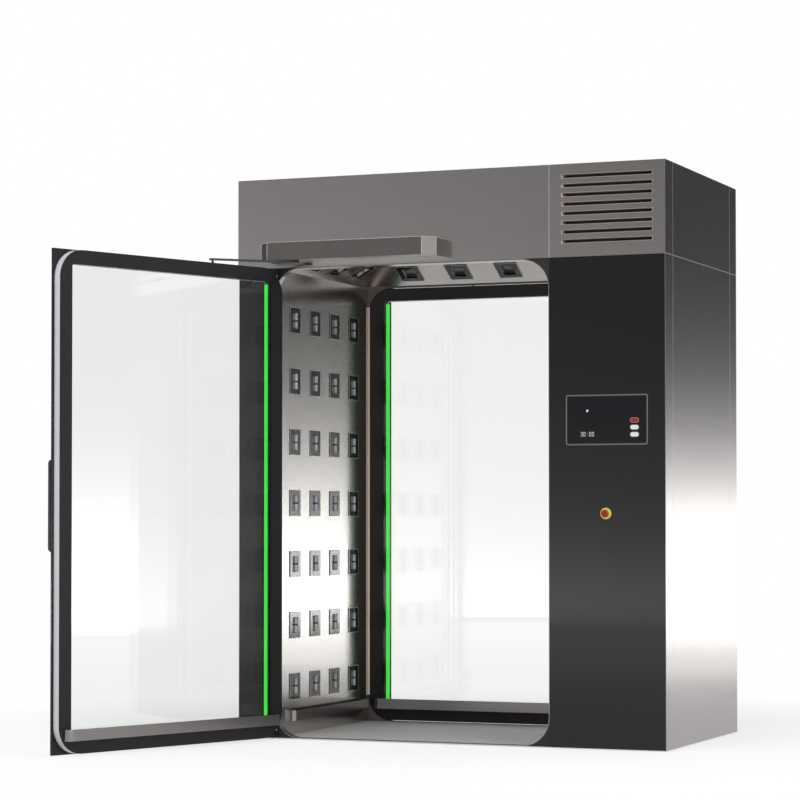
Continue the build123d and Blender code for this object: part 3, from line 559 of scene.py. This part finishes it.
def rounded_rectangle(
    width: float, height: float, radius: float, arc_steps: int = 8
) -> tuple[Array, Array]:
    """Outline of a rounded rectangle about the origin.

    Each corner is a quarter circle of the radius about a point that is the radius inside both
    edges; its outward direction is the direction from that point.

    Args:
        width: full width.
        height: full height.
        radius: corner radius, zero for square corners.
        arc_steps: steps in each corner.

    Returns:
        Outline points and outward directions, both P x 2, anticlockwise.
    """
    turn = np.linspace(0, math.pi / 2, arc_steps + 1)
    angles = np.concatenate([turn + quarter * math.pi / 2 for quarter in range(4)])
    out = np.stack([np.cos(angles), np.sin(angles)], -1)
    signs = np.repeat(np.array([(1, 1), (-1, 1), (-1, -1), (1, -1)], float), arc_steps + 1, axis=0)
    corner = signs * (np.array([width, height]) / 2 - radius)
    return corner + radius * out, out


def box_grid(low: Array, high: Array) -> tuple[Array, NDArray[np.int64]]:
    """Corners and faces of one or many boxes.

    Args:
        low: N x 3 lowest corners.
        high: N x 3 highest corners.

    Returns:
        8N points and 6N outward faces.
    """
    bits = np.array([(x, y, z) for z in (0, 1) for y in (0, 1) for x in (0, 1)], float)
    points = low[:, None] * (1 - bits) + high[:, None] * bits
    quads = np.array(
        [(0, 2, 3, 1), (4, 5, 7, 6), (0, 1, 5, 4), (2, 6, 7, 3), (0, 4, 6, 2), (1, 3, 7, 5)]
    )
    faces = quads[None] + 8 * np.arange(len(low))[:, None, None]
    return points.reshape(-1, 3), faces.reshape(-1, 4)


def prisms(first: Array, last: Array) -> tuple[Array, list[list[int]]]:
    """Solids between pairs of matching outlines.

    Args:
        first: N x S x 3 corners of the outlines at one end.
        last: the same corners at the other end.

    Returns:
        Points and faces: the sides and both end caps of every solid.
    """
    count, corners = first.shape[:2]
    points = np.stack([first, last], 1).reshape(-1, 3)
    j = np.arange(corners)
    k = (j + 1) % corners
    side = np.stack([j, k, corners + k, corners + j], -1)
    start = 2 * corners * np.arange(count)[:, None]
    faces = (side[None] + start[:, :, None]).reshape(-1, 4).tolist()
    caps = np.concatenate([start + j[::-1], start + corners + j])
    return points, faces + caps.tolist()


def corners_of(node: str) -> tuple[Array, Array]:
    """Lowest and highest corner of a CAD node at rest.

    Args:
        node: the node's name.

    Returns:
        Both corners, in metres.
    """
    low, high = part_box(node)
    return np.array(low), np.array(high)


# ================================================================ sub-assemblies
@dataclass(frozen=True)
class Cabinet:
    """Outer edges of the cabinet, and thin strips on it that paint the highlights of its folded seams and the
    shade on its right corners.
    """

    left: float
    right: float
    front: float
    top: float
    fascia_bottom: float
    column_edge: float
    strip: float
    wall_left: float
    wall_right: float
    fold: float = 0.0020
    seam_gap: float = 0.001
    proud: float = 0.0001
    corner_line: float = 0.0022
    lip_start: float = 0.0482
    lip_width: float = 0.0220
    lip_bow: float = 0.0016
    lip_fold: float = 0.0085
    lip_clear: float = 0.0003
    lip_sheet: float = 0.0002
    foot: float = 0.004
    lip_bottom: float = 0.125
    lip_top: float = 1.925

    @classmethod
    def from_frame(cls) -> "Cabinet":
        """Read the edges from the frame's nodes.

        Returns:
            The cabinet's edges, in metres.
        """
        cover_low, cover_high = corners_of("top_cover")
        fascia_low, fascia_high = corners_of("front_fascia")
        side_low, _ = corners_of("left_side_panels")
        return cls(
            left=cover_low[0],
            right=cover_high[0],
            front=cover_low[1],
            top=cover_low[2],
            fascia_bottom=fascia_low[2],
            column_edge=fascia_high[0] + cls.seam_gap,
            strip=side_low[1] - cover_low[1] - cls.seam_gap,
            wall_left=corners_of("left_wall")[1][0],
            wall_right=corners_of("right_wall")[0][0],
        )

    @property
    def walls(self) -> tuple[tuple[float, float], ...]:
        """Place and inward direction of the left and the right chamber wall."""
        return (self.wall_left, 1.0), (self.wall_right, -1.0)

    def seam_painted_highlights(self, maker: Maker) -> None:
        """Pale strips in the seams that paint the highlights of the folded edges, and dark strips that paint
        the shade on the right corner edges.

        Args:
            maker: builds the piece.
        """
        half, p = self.fold / 2, self.proud
        seam = self.fascia_bottom + self.fold
        rows: list[tuple[float, ...]] = []
        for x in (self.left, self.right):
            for y in (self.front + self.strip, -self.front - self.strip):
                rows.append((x - p, y - half, self.foot, x + p, y + half, self.top))
            rows.append((x - p, self.front, seam - half, x + p, -self.front, seam + half))
        rows.append(
            (self.column_edge - half, self.front - p, self.fascia_bottom,
             self.column_edge + half, self.front + p, self.top)
        )
        # Pale strips in the seams: painted highlights of the folded edges.
        table = np.array(rows)
        points, faces = box_grid(table[:, :3], table[:, 3:])
        maker.piece("seam_painted_highlights", points, faces, PAINTED_EDGE_HIGHLIGHT, "cabinet")
        # Dark strips on the front and rear faces at the right corner: painted shade of the corner edges.
        table = np.array(
            [
                (self.right - self.corner_line, y - p, self.foot, self.right - p, y + p, self.top)
                for y in (self.front, -self.front)
            ]
        )
        points, faces = box_grid(table[:, :3], table[:, 3:])
        maker.piece("corner_shade_lines", points, faces, PAINTED_CORNER_SHADE, "cabinet")

    def doorway_seal_reflections(self, maker: Maker) -> None:
        """Bowed tan strips on the chamber walls beside the two doorways, a painted reflection of the doors'
        pale seal in the wall steel.

        The section is a circular bow: the height at share s of the width is
        bow * (1 - (2 s - 1) ** 2). A thin fold stands upright at the doorway's side of each strip.

        Args:
            maker: builds the piece.
        """
        share = np.linspace(0.0, 1.0, 9)
        bow = self.lip_bow * (1 - (2 * share - 1) ** 2)
        outlines, folds = [], []
        for wall, way in self.walls:
            for end in (1.0, -1.0):
                y = end * (self.front + self.lip_start)
                far = wall + way * self.lip_fold
                lifted = wall + way * (self.lip_clear + bow)
                outlines.append(np.stack([lifted, y + end * share * self.lip_width], -1))
                folds.append((*sorted((wall, far)), *sorted((y, y - end * self.lip_sheet))))
        plan = np.array(outlines)
        low = np.concatenate([plan, np.full(plan.shape[:2] + (1,), self.lip_bottom)], -1)
        high = np.concatenate([plan, np.full(plan.shape[:2] + (1,), self.lip_top)], -1)
        points, faces = prisms(low, high)
        edges = np.array(folds)
        bottom, top = np.full(len(edges), self.lip_bottom), np.full(len(edges), self.lip_top)
        more, sides = box_grid(
            np.stack([edges[:, 0], edges[:, 2], bottom], -1), np.stack([edges[:, 1], edges[:, 3], top], -1)
        )
        maker.piece(
            "doorway_seal_reflections", np.concatenate([points, more]), faces + (sides + len(points)).tolist(),
            LIP_PAINTED_REFLECTION, "cabinet",
        )


@dataclass(frozen=True)
class Vent:
    """The slots of the vent grille: rolled rims, lined channels and their closed ends."""

    middle: tuple[float, float] = (0.7085, 2.2145)
    count: int = 8
    pitch: float = 0.0383
    width: float = 0.388
    height: float = 0.015
    depth: float = 0.0495
    rim: float = 0.0014
    rim_proud: float = 0.0008
    gap: float = 0.0003
    lining: float = 0.0004
    end_depth: float = 0.032
    end_start: float = 0.009
    end_length: float = 0.013
    end_height: float = 0.008
    lining_start: float = 0.0005
    plate_start: float = 0.001
    rim_flat: float = 0.7
    recess_steps: int = 12

    def rings(self, section: Array, front: float) -> tuple[Array, NDArray[np.int64]]:
        """A section carried round the mouth of every slot.

        Args:
            section: S x 2 corners, outward from the slot and into the cabinet.
            front: Y of the front face.

        Returns:
            Points and faces of all the rings.
        """
        corner = np.array([(1.0, 1.0), (-1.0, 1.0), (-1.0, -1.0), (1.0, -1.0)])
        side = np.column_stack([corner[:, 0], np.zeros(4), corner[:, 1]])
        path = side * (self.width / 2, 0.0, self.height / 2)
        points, faces = carried(section, path, side, np.array([0.0, 1.0, 0.0]))
        rows = centred(self.count, self.pitch)
        shifts = np.stack(
            [np.full(self.count, self.middle[0]), np.full(self.count, front), self.middle[1] + rows], -1
        )
        spots = points[None] + shifts[:, None]
        numbers = faces[None] + len(points) * np.arange(self.count)[:, None, None]
        return spots.reshape(-1, 3), numbers.reshape(-1, 4)

    def build(self, maker: Maker, cabinet: Cabinet) -> None:
        """Make the rims, the linings, the end plates and their recesses.

        Args:
            maker: builds the pieces.
            cabinet: gives the front face.
        """
        rim = np.array(
            [(0.0, 0.0), (0.0, -self.rim_proud), (self.rim * self.rim_flat, -self.rim_proud), (self.rim, 0.0)]
        )
        points, faces = self.rings(rim, cabinet.front)
        maker.piece("vent_rims", points, faces, VENT_TAN, "cabinet")
        inner = -self.gap - self.lining
        start = self.lining_start
        skin = np.array([(inner, start), (-self.gap, start), (-self.gap, self.depth), (inner, self.depth)])
        points, faces = self.rings(skin, cabinet.front)
        maker.piece("vent_linings", points, faces, VENT_BROWN, "cabinet")
        rows = self.middle[1] + centred(self.count, self.pitch)
        x = self.middle[0] - self.width / 2 + self.gap + self.lining
        half = self.height / 2 - self.gap - self.lining
        fronts = np.full(self.count, cabinet.front + self.plate_start)
        low = np.stack([np.full(self.count, x), fronts, rows - half], -1)
        high = low + (self.lining, self.end_depth, 2 * half)
        points, faces = box_grid(low, high)
        maker.piece("vent_end_plates", points, faces, VENT_END, "cabinet")
        x += self.lining
        turn = np.linspace(0, 2 * math.pi, self.recess_steps, endpoint=False)
        y = cabinet.front + self.end_start + self.end_length / 2 * (1 + np.cos(turn))
        z = rows[:, None] + self.end_height / 2 * np.sin(turn)
        y = np.broadcast_to(y, z.shape)
        low = np.stack([np.full_like(z, x), y, z], -1)
        high = np.stack([np.full_like(z, x + self.lining), y, z], -1)
        points, faces = prisms(low, high)
        maker.piece("vent_end_recesses", points, faces, VENT_BROWN, "cabinet")


@dataclass(frozen=True)
class Operator:
    """Pale beads on the rolled edges of one door operator's sheet case, painting the edges' highlights."""

    end: str
    chamfer: float = 0.047
    bead: float = 0.0013
    inset: float = 0.0

    def build(self, maker: Maker) -> None:
        """Lay a small round pale bead, a painted highlight, along the top edge and the upright front edges.

        Args:
            maker: builds the piece.
        """
        low, high = corners_of(f"{self.end}_operator_case")
        way = 1.0 if self.end == "front" else -1.0
        face, back = (low[1], high[1]) if way > 0 else (high[1], low[1])
        cut = self.chamfer
        plan = np.array(
            [
                (low[0], back), (low[0], face + way * cut), (low[0] + cut, face),
                (high[0] - cut, face), (high[0], face + way * cut), (high[0], back),
            ]
        )
        step = np.roll(plan, -1, axis=0) - plan
        step /= np.linalg.norm(step, axis=1, keepdims=True)
        normal = way * np.column_stack([-step[:, 1], step[:, 0]]) * -1.0
        before = np.roll(normal, 1, axis=0)
        mitre = (normal + before) / (1 + (normal * before).sum(1, keepdims=True))
        turn = np.linspace(0, 2 * math.pi, 8, endpoint=False)
        ring = self.bead * np.stack([np.cos(turn), np.sin(turn)], -1)
        plan = plan - self.inset * mitre
        path = np.column_stack([plan, np.full(len(plan), high[2])])
        side = np.column_stack([mitre, np.zeros(len(plan))])
        points, faces = carried(ring, path, side, np.array([0.0, 0.0, 1.0]))
        posts = plan[1:5, None] + ring[None]
        foot = np.concatenate([posts, np.full(posts.shape[:2] + (1,), low[2])], -1)
        head = np.concatenate([posts, np.full(posts.shape[:2] + (1,), high[2])], -1)
        more, sides = prisms(foot, head)
        sides = [[number + len(points) for number in quad] for quad in sides]
        maker.piece(
            f"{self.end}_operator_edge_highlights", np.concatenate([points, more]), faces.tolist() + sides,
            PAINTED_EDGE_HIGHLIGHT, "cabinet",
        )


@dataclass(frozen=True)
class Screen:
    """Edge line and generic figures of the control screen."""

    line: float = 0.0044
    line_foot: float = 0.0002
    ink: float = 0.0003
    border_ink: float = 0.0002
    key_ink: float = 0.0004
    corner: float = 0.008
    proud: float = 0.0003
    dot_place: tuple[float, float] = (-0.0829, 0.0376)
    dot_radius: float = 0.0048
    key_places: tuple[tuple[float, float], ...] = ((0.1183, -0.0029), (0.1183, -0.0317), (0.1183, -0.0610))
    key_size: tuple[float, float] = (0.034, 0.0165)
    key_edge: float = 0.0022
    figures: str = "30:00"
    figure_start: tuple[float, float] = (-0.1114, -0.0670)
    figure_size: tuple[float, float] = (0.0080, 0.0175)
    figure_pitch: float = 0.0122
    stroke: float = 0.0015

    def plate(self, outline: Array, middle: Array, thick: float) -> tuple[Array, list[list[int]]]:
        """Thin plate on the screen's glass.

        Args:
            outline: S x 2 corners about the plate's middle.
            middle: where the plate's middle lies on the glass.
            thick: how far it stands out.

        Returns:
            Points and faces.
        """
        places = np.column_stack([outline[:, 0], np.zeros(len(outline)), outline[:, 1]]) + middle
        return prisms(places[None], (places + (0.0, -thick, 0.0))[None])

    def strokes(self) -> Array:
        """Bars of seven-segment figures.

        Returns:
            Rows of left, bottom, right and top about the first figure's lower left corner.
        """
        wide, tall = self.figure_size
        s, half = self.stroke, tall / 2
        bars = {
            "a": (0, tall - s, wide, tall), "b": (wide - s, half, wide, tall),
            "c": (wide - s, 0, wide, half), "d": (0, 0, wide, s), "e": (0, 0, s, half),
            "f": (0, half, s, tall), "g": (0, half - s / 2, wide, half + s / 2),
        }
        lit = {"3": "abgcd", "0": "abcdef"}
        rows: list[tuple[float, ...]] = []
        for place, figure in enumerate(self.figures):
            x = place * self.figure_pitch
            if figure == ":":
                spots = [(wide / 2 - s / 2, half + k * 0.0035 - s / 2) for k in (-1, 1)]
                rows += [(x + u, v, x + u + s, v + s) for u, v in spots]
            else:
                rows += [(x + bars[k][0], bars[k][1], x + bars[k][2], bars[k][3]) for k in lit[figure]]
        return np.array(rows)

    def build(self, maker: Maker) -> None:
        """Make the edge line, the dot, the three keys and the figures.

        Args:
            maker: builds the pieces.
        """
        low, high = corners_of("screen_bezel")
        middle = (low + high) / 2
        outline, out = rounded_rectangle(high[0] - low[0], high[2] - low[2], self.corner, 4)
        flat = np.zeros(len(outline))
        path = np.column_stack([outline[:, 0] + middle[0], flat + low[1], outline[:, 1] + middle[2]])
        side = np.column_stack([out[:, 0], flat, out[:, 1]])
        section = np.array(
            [
                (0.0, self.line_foot), (0.0, -self.proud),
                (-self.line, -self.proud), (-self.line, self.line_foot),
            ]
        )
        points, faces = carried(section, path, side, np.array([0.0, 1.0, 0.0]))
        maker.piece("screen_edge", points, faces, BEZEL_LINE, "cabinet")

        glass = np.array([middle[0], corners_of("screen")[0][1], middle[2]])
        turn = np.linspace(0, 2 * math.pi, 20, endpoint=False)
        dot = self.dot_radius * np.stack([np.cos(turn), np.sin(turn)], -1)
        points, faces = self.plate(dot, glass + (self.dot_place[0], 0.0, self.dot_place[1]), self.ink)
        maker.piece("screen_dot", points, faces, SCREEN_WHITE, "cabinet")
        key, _ = rounded_rectangle(*self.key_size, self.key_size[1] / 2, 6)
        border, _ = rounded_rectangle(
            self.key_size[0] + 2 * self.key_edge,
            self.key_size[1] + 2 * self.key_edge,
            self.key_size[1] / 2 + self.key_edge,
            6,
        )
        for number, (x, z) in enumerate(self.key_places):
            face, edge = (SCREEN_RED, SCREEN_PINK) if number == 0 else (SCREEN_WHITE, SCREEN_GREY)
            spot = glass + (x, 0.0, z)
            for part, shape, finish, thick in (
                ("edge", border, edge, self.border_ink), ("key", key, face, self.key_ink),
            ):
                points, faces = self.plate(shape, spot, thick)
                maker.piece(f"screen_{part}_{number}", points, faces, finish, "cabinet")
        bars = self.strokes()
        start = glass[[0, 2]] + self.figure_start
        deep = np.full(len(bars), glass[1])
        first = np.column_stack([bars[:, 0] + start[0], deep - self.ink, bars[:, 1] + start[1]])
        last = np.column_stack([bars[:, 2] + start[0], deep, bars[:, 3] + start[1]])
        points, faces = box_grid(first, last)
        maker.piece("screen_figures", points, faces, SCREEN_WHITE, "cabinet")


@dataclass(frozen=True)
class Leaf:
    """One door leaf in its own directions: along from the hinge, in from its outer face, and up."""

    end: str
    hinge: tuple[float, float]
    open_degrees: float
    window: tuple[float, float, float, float] = (0.0665, 1.1715, 0.085, 1.952)
    light: tuple[float, float] = (0.0805, 0.0965)
    bar: float = 0.0034
    bar_edge: float = 0.0004
    bar_depths: tuple[float, float] = (0.0262, 0.0315)
    bar_corner: float = 0.021
    carrier_depths: tuple[float, float, float] = (0.020, 0.0258, 0.0365)
    carrier_lap: float = 0.0032

    def frame_of_leaf(self) -> tuple[Array, Array]:
        """Turn from the leaf's own directions to the cabinet's, and the hinge's place.

        Returns:
            A 3 x 3 matrix whose rows are the directions along, in and up, and the hinge's foot.
        """
        way = 1.0 if self.end == "front" else -1.0
        turn = math.radians(self.open_degrees)
        rows = np.array(
            [
                (math.cos(turn), -way * math.sin(turn), 0.0),
                (math.sin(turn), way * math.cos(turn), 0.0),
                (0.0, 0.0, 1.0),
            ]
        )
        return rows, np.array([*self.hinge, 0.0])

    def spacer(self, maker: Maker) -> None:
        """Pale metal ribbon between the panes, with rounded corners.

        It runs along the window's edge, and on the hinge side behind the status light.

        Args:
            maker: builds the piece.
        """
        (along, inward, up), origin = self.frame_of_leaf()
        _, right, bottom, top = self.window
        left = self.light[0] + self.bar_edge
        width, height = right - left - self.bar_edge, top - bottom - 2 * self.bar_edge
        outline, out = rounded_rectangle(width, height, self.bar_corner)
        spots = outline + ((left + right - self.bar_edge) / 2, (bottom + top) / 2)
        path = origin + spots[:, :1] * along + spots[:, 1:] * up
        side = out[:, :1] * along + out[:, 1:] * up
        near, far = self.bar_depths
        section = np.array([(0.0, near), (0.0, far), (-self.bar, far), (-self.bar, near)])
        points, faces = carried(section, path, side, inward)
        maker.piece(f"{self.end}_spacer_bar", points, faces, SPACER_METAL, f"{self.end}_door")

    def carrier(self, maker: Maker) -> None:
        """Black channel that holds the status light along the window's hinge side.

        Args:
            maker: builds the piece.
        """
        rows, origin = self.frame_of_leaf()
        left, _, bottom, top = self.window
        near, middle, far = self.carrier_depths
        edge = 0.0003
        reach = self.light[1] + self.carrier_lap
        plan = np.array(
            [
                (left + edge, near), (reach, near), (reach, middle), (self.light[0] - edge, middle),
                (self.light[0] - edge, far), (left + edge, far),
            ]
        )
        low = np.column_stack([plan, np.full(len(plan), bottom + edge)]) @ rows + origin
        high = np.column_stack([plan, np.full(len(plan), top - edge)]) @ rows + origin
        points, faces = prisms(low[None], high[None])
        maker.piece(f"{self.end}_light_carrier", points, faces, LEAF_PAINT, f"{self.end}_door")


@dataclass(frozen=True)
class Lamps:
    """The recessed lamps of the walls and of the sloping ceiling."""

    rows: int = 7
    columns: int = 4
    row_pitch: float = 0.266
    column_pitch: float = 0.215
    width: float = 0.108
    height: float = 0.114
    bezel: float = 0.003
    rim: float = 0.0016
    rim_rise: float = 0.0005
    rim_inside: float = 0.0003
    corner: float = 0.002
    middle_height: float = 1.0095
    soffit: float = 2.015
    soffit_depth: float = 0.100
    facet_angle: float = math.radians(29.0)
    facet_length: float = 0.194
    end_count: int = 4
    end_pitch: float = 0.239
    side_count: int = 3
    side_pitch: float = 0.220

    def places(self, cabinet: Cabinet) -> tuple[Array, Array, Array]:
        """Frame of every lamp.

        Args:
            cabinet: gives the walls and the depth.

        Returns:
            Middle, width direction and outward direction of each lamp, all N x 3.
        """
        z, y = np.meshgrid(
            self.middle_height + centred(self.rows, self.row_pitch),
            centred(self.columns, self.column_pitch),
            indexing="ij",
        )
        y, z = y.ravel(), z.ravel()
        middles, widths, outs = [], [], []
        for wall, way in cabinet.walls:
            middles.append(np.stack([np.full_like(y, wall), y, z], -1))
            widths.append(np.tile([0.0, way, 0.0], (len(y), 1)))
            outs.append(np.tile([way, 0.0, 0.0], (len(y), 1)))
        run = math.cos(self.facet_angle) * self.facet_length / 2
        rise = math.sin(self.facet_angle) * self.facet_length / 2
        lean, down = math.sin(self.facet_angle), -math.cos(self.facet_angle)
        centre_x = (cabinet.wall_left + cabinet.wall_right) / 2
        height = self.soffit + rise
        for way in (1.0, -1.0):
            along = centred(self.end_count, self.end_pitch)
            y_line = way * (cabinet.front + self.soffit_depth + run)
            level = np.full_like(along, height)
            middles.append(np.stack([centre_x + along, np.full_like(along, y_line), level], -1))
            widths.append(np.tile([1.0, 0.0, 0.0], (len(along), 1)))
            outs.append(np.tile([0.0, way * lean, down], (len(along), 1)))
        for wall, way in cabinet.walls:
            along = centred(self.side_count, self.side_pitch)
            level = np.full_like(along, height)
            middles.append(np.stack([np.full_like(along, wall + way * run), along, level], -1))
            widths.append(np.tile([0.0, 1.0, 0.0], (len(along), 1)))
            outs.append(np.tile([way * lean, 0.0, down], (len(along), 1)))
        return np.concatenate(middles), np.concatenate(widths), np.concatenate(outs)

    def rims(self, maker: Maker, cabinet: Cabinet) -> None:
        """Thin bright edge round each lamp's black bezel.

        The section is a small rectangle carried round the bezel's outline, repeated on each
        lamp's own frame.

        Args:
            maker: builds the piece.
            cabinet: gives the walls and the depth.
        """
        middles, widths, outs = self.places(cabinet)
        heights = np.cross(outs, widths)
        outline, out = rounded_rectangle(self.width, self.height, self.corner, 1)
        path = np.column_stack([outline, np.zeros(len(outline))])
        side = np.column_stack([out, np.zeros(len(out))])
        top, foot = self.bezel + self.rim_rise, self.bezel - self.rim_rise
        inside, outside = self.rim_inside, -self.rim
        section = np.array([(inside, foot), (inside, top), (outside, top), (outside, foot)])
        points, faces = carried(section, path, side, np.array([0.0, 0.0, 1.0]))
        spots = (
            middles[:, None]
            + points[None, :, :1] * widths[:, None]
            + points[None, :, 1:2] * heights[:, None]
            + points[None, :, 2:] * outs[:, None]
        )
        numbers = faces[None] + len(points) * np.arange(len(middles))[:, None, None]
        maker.piece(
            "lamp_rims", spots.reshape(-1, 3), numbers.reshape(-1, 4), RIM_STEEL, "cabinet"
        )


# ================================================================ stage, light and camera
FLOOR_GREY = (0.84, 0.84, 0.84, 1)
# Distances in metres from the middle between which the floor fades to plain white.
FLOOR_FADE = (1.0, 3.2)
FLOOR_WHITE_NEAR = 0.62
# Distance in metres and level of the floor as mirrors see it.
FLOOR_IN_MIRRORS = (
    (0.0, 0.53), (1.96, 0.57), (3.78, 0.62), (6.3, 0.80), (10.08, 1.05), (11.2, 0.95), (12.6, 0.25),
)
# Height (sine of the angle above the horizon) and level of each band as mirrors see it.
BANDS_BEHIND = (
    (-0.30, 0.45), (-0.12, 0.60), (-0.044, 0.60), (-0.037, 3.8), (-0.012, 3.0), (-0.002, 1.8),
    (0.008, 1.15), (0.018, 0.72), (0.032, 0.37), (0.045, 0.20), (0.061, 0.11), (0.087, 0.065),
    (0.13, 0.050), (0.2, 0.12),
)
BANDS_FACED = (
    (-0.30, 0.13), (-0.10, 0.21), (-0.05, 1.6), (-0.03, 1.6), (-0.01, 0.85), (0.01, 0.50),
    (0.03, 0.38), (0.05, 0.28), (0.08, 0.21), (0.13, 0.19), (0.2, 0.19),
)
# Gain of the faced bands from left (-1) to right (1).
SIDE_GAIN = ((-0.45, 1.5), (-0.28, 1.0), (0.20, 1.0), (0.86, 4.3))
BANDS_MEET = 0.3
SKY_SEEN = (1, 1, 1, 1)
SKY_LIGHT = (0.55, 0.55, 0.55, 1)


@dataclass(frozen=True)
class Studio:
    """Pale floor, soft light and the camera."""

    floor_radius: float = 10.2
    floor_middle: tuple[float, float] = (0.0, -3.2)
    camera_place: tuple[float, float, float] = (4.051, -10.9577, 0.9379)
    camera_pitch: float = math.radians(91.329)
    camera_yaw: float = math.radians(22.293)
    lens: float = 120.33
    shift: tuple[float, float] = (0.00398, 0.07174)

    def camera(self) -> None:
        """Add the camera and make it the scene's own."""
        data = bpy.data.cameras.new("camera")
        data.lens = self.lens
        data.shift_x, data.shift_y = self.shift
        data.clip_end = 200.0
        camera = bpy.data.objects.new("camera", data)
        camera.location = self.camera_place
        camera.rotation_euler = (self.camera_pitch, 0.0, self.camera_yaw)
        bpy.context.scene.collection.objects.link(camera)
        bpy.context.scene.camera = camera

    def floor(self) -> None:
        """Lay a pale round floor that fades to white away from the object."""
        steps, rings = 64, np.array([0.0, 1.0, 3.0, self.floor_radius])
        turn = np.linspace(0, 2 * math.pi, steps, endpoint=False)
        ring = rings[1:, None]
        x = self.floor_middle[0] + ring * np.cos(turn)
        y = self.floor_middle[1] + ring * np.sin(turn)
        points = np.stack([x, y, np.zeros_like(x)], -1).reshape(-1, 3)
        i, j = np.meshgrid(np.arange(len(rings) - 2), np.arange(steps), indexing="ij")
        k = (j + 1) % steps
        quads = np.stack([i * steps + j, (i + 1) * steps + j, (i + 1) * steps + k, i * steps + k], -1)
        inner = list(range(steps))
        mesh = bpy.data.meshes.new("floor")
        mesh.from_pydata(points, [], [inner, *quads.reshape(-1, 4).tolist()])
        mesh.materials.append(self.floor_material())
        floor = bpy.data.objects.new("floor", mesh)
        bpy.context.scene.collection.objects.link(floor)

    def floor_material(self) -> bpy.types.Material:
        """Pale floor: soft shadow near the object, plain white further out.

        In mirrors it is grey near the object and pale far off, with a darker rim.

        Returns:
            The material.
        """
        shader = Shader("pale_floor")
        matt = shader.node("BsdfDiffuse")
        matt.inputs["Color"].default_value = FLOOR_GREY
        white = shader.node("Emission")
        white.inputs["Strength"].default_value = 1.0
        length = shader.node("VectorMath", operation="LENGTH")
        shader.join(shader.place((1.0, 1.0, 1.0)), length.inputs[0])
        fade = shader.node("MapRange", interpolation_type="SMOOTHSTEP")
        fade.inputs["From Min"].default_value, fade.inputs["From Max"].default_value = FLOOR_FADE
        fade.inputs["To Min"].default_value = FLOOR_WHITE_NEAR
        shader.join(length.outputs["Value"], fade.inputs["Value"])
        seen = shader.layered(fade.outputs["Result"], matt, white)
        dim = shader.node("Emission")
        shader.join(shader.graded(length.outputs["Value"], FLOOR_IN_MIRRORS), dim.inputs["Color"])
        final = shader.layered(shader.bounced("Glossy"), seen, dim)
        shader.join(final.outputs["Shader"], shader.output.inputs["Surface"])
        return shader.material

    def sky(self) -> None:
        """Set white surroundings, with bands of light and dark where a mirror sees them.

        The bands run level. Those behind the cabinet and those it faces differ, and the faced
        ones are brighter towards both sides.
        """
        world = bpy.data.worlds.new("studio")
        bpy.context.scene.world = world
        world.use_nodes = True
        tree = Tree(world.node_tree)
        split = tree.node("SeparateXYZ")
        tree.join(tree.node("TexCoord").outputs["Generated"], split.inputs[0])
        behind = tree.graded(split.outputs["Z"], BANDS_BEHIND)
        faced = tree.graded(split.outputs["Z"], BANDS_FACED)
        brighter = tree.mixed(1.0, faced, tree.graded(split.outputs["X"], SIDE_GAIN), "MULTIPLY")
        turn = tree.node("MapRange")
        turn.inputs["From Min"].default_value = -BANDS_MEET
        turn.inputs["From Max"].default_value = BANDS_MEET
        tree.join(split.outputs["Y"], turn.inputs["Value"])
        bands = tree.mixed(turn.outputs["Result"], brighter, behind)
        plain = tree.mixed(tree.bounced("Diffuse"), SKY_SEEN, SKY_LIGHT)
        background = tree.node("Background")
        tree.join(tree.mixed(tree.bounced("Glossy"), plain, bands), background.inputs["Color"])
        output = tree.node("OutputWorld")
        tree.join(background.outputs["Background"], output.inputs["Surface"])

    def lamp(
        self,
        name: str,
        place: tuple[float, float, float],
        aim: tuple[float, float, float],
        size: float,
        power: float,
    ) -> None:
        """Hang a square soft lamp.

        Args:
            name: name of the lamp.
            place: where it hangs.
            aim: the place that it faces.
            size: length of its side.
            power: watts.
        """
        data = bpy.data.lights.new(name, "AREA")
        data.size = size
        data.energy = power
        lamp = bpy.data.objects.new(name, data)
        lamp.visible_glossy = False
        way = np.array(aim) - np.array(place)
        lamp.location = place
        lamp.rotation_euler = (
            math.acos(-way[2] / np.linalg.norm(way)),
            0.0,
            math.atan2(-way[0], way[1]),
        )
        bpy.context.scene.collection.objects.link(lamp)

    def build(self) -> None:
        """Set the stage, the light and the camera."""
        self.camera()
        self.floor()
        self.sky()
        self.lamp("key", (-0.5, -5.5, 7.0), (0.0, 0.0, 0.9), 5.0, 300.0)
        self.lamp("fill", (6.5, -3.0, 4.0), (0.3, 0.0, 0.8), 5.0, 330.0)
        bpy.context.scene.view_settings.view_transform = "Standard"
        LOG.info("studio ready")


# Hinge lines of the two leaves, and how far the front leaf stands open, in degrees.
HINGE_X, HINGE_DEPTH = -0.784, 0.547
FRONT_LEAF_TURN = 110.4


def main() -> None:
    """Build the looks round the frame."""
    logging.basicConfig(level=logging.INFO, format="%(message)s")
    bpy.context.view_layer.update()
    maker = Maker()
    cabinet = Cabinet.from_frame()
    maker.dress_frame()
    cabinet.seam_painted_highlights(maker)
    cabinet.doorway_seal_reflections(maker)
    Vent().build(maker, cabinet)
    Screen().build(maker)
    Operator("front").build(maker)
    Operator("rear", inset=Operator.bead).build(maker)
    for end, depth, opened in (("front", -HINGE_DEPTH, FRONT_LEAF_TURN), ("rear", HINGE_DEPTH, 0.0)):
        leaf = Leaf(end, (HINGE_X, depth), opened)
        leaf.spacer(maker)
        leaf.carrier(maker)
    Lamps().rims(maker, cabinet)
    Studio().build()


if __name__ == "__main__":
    main()
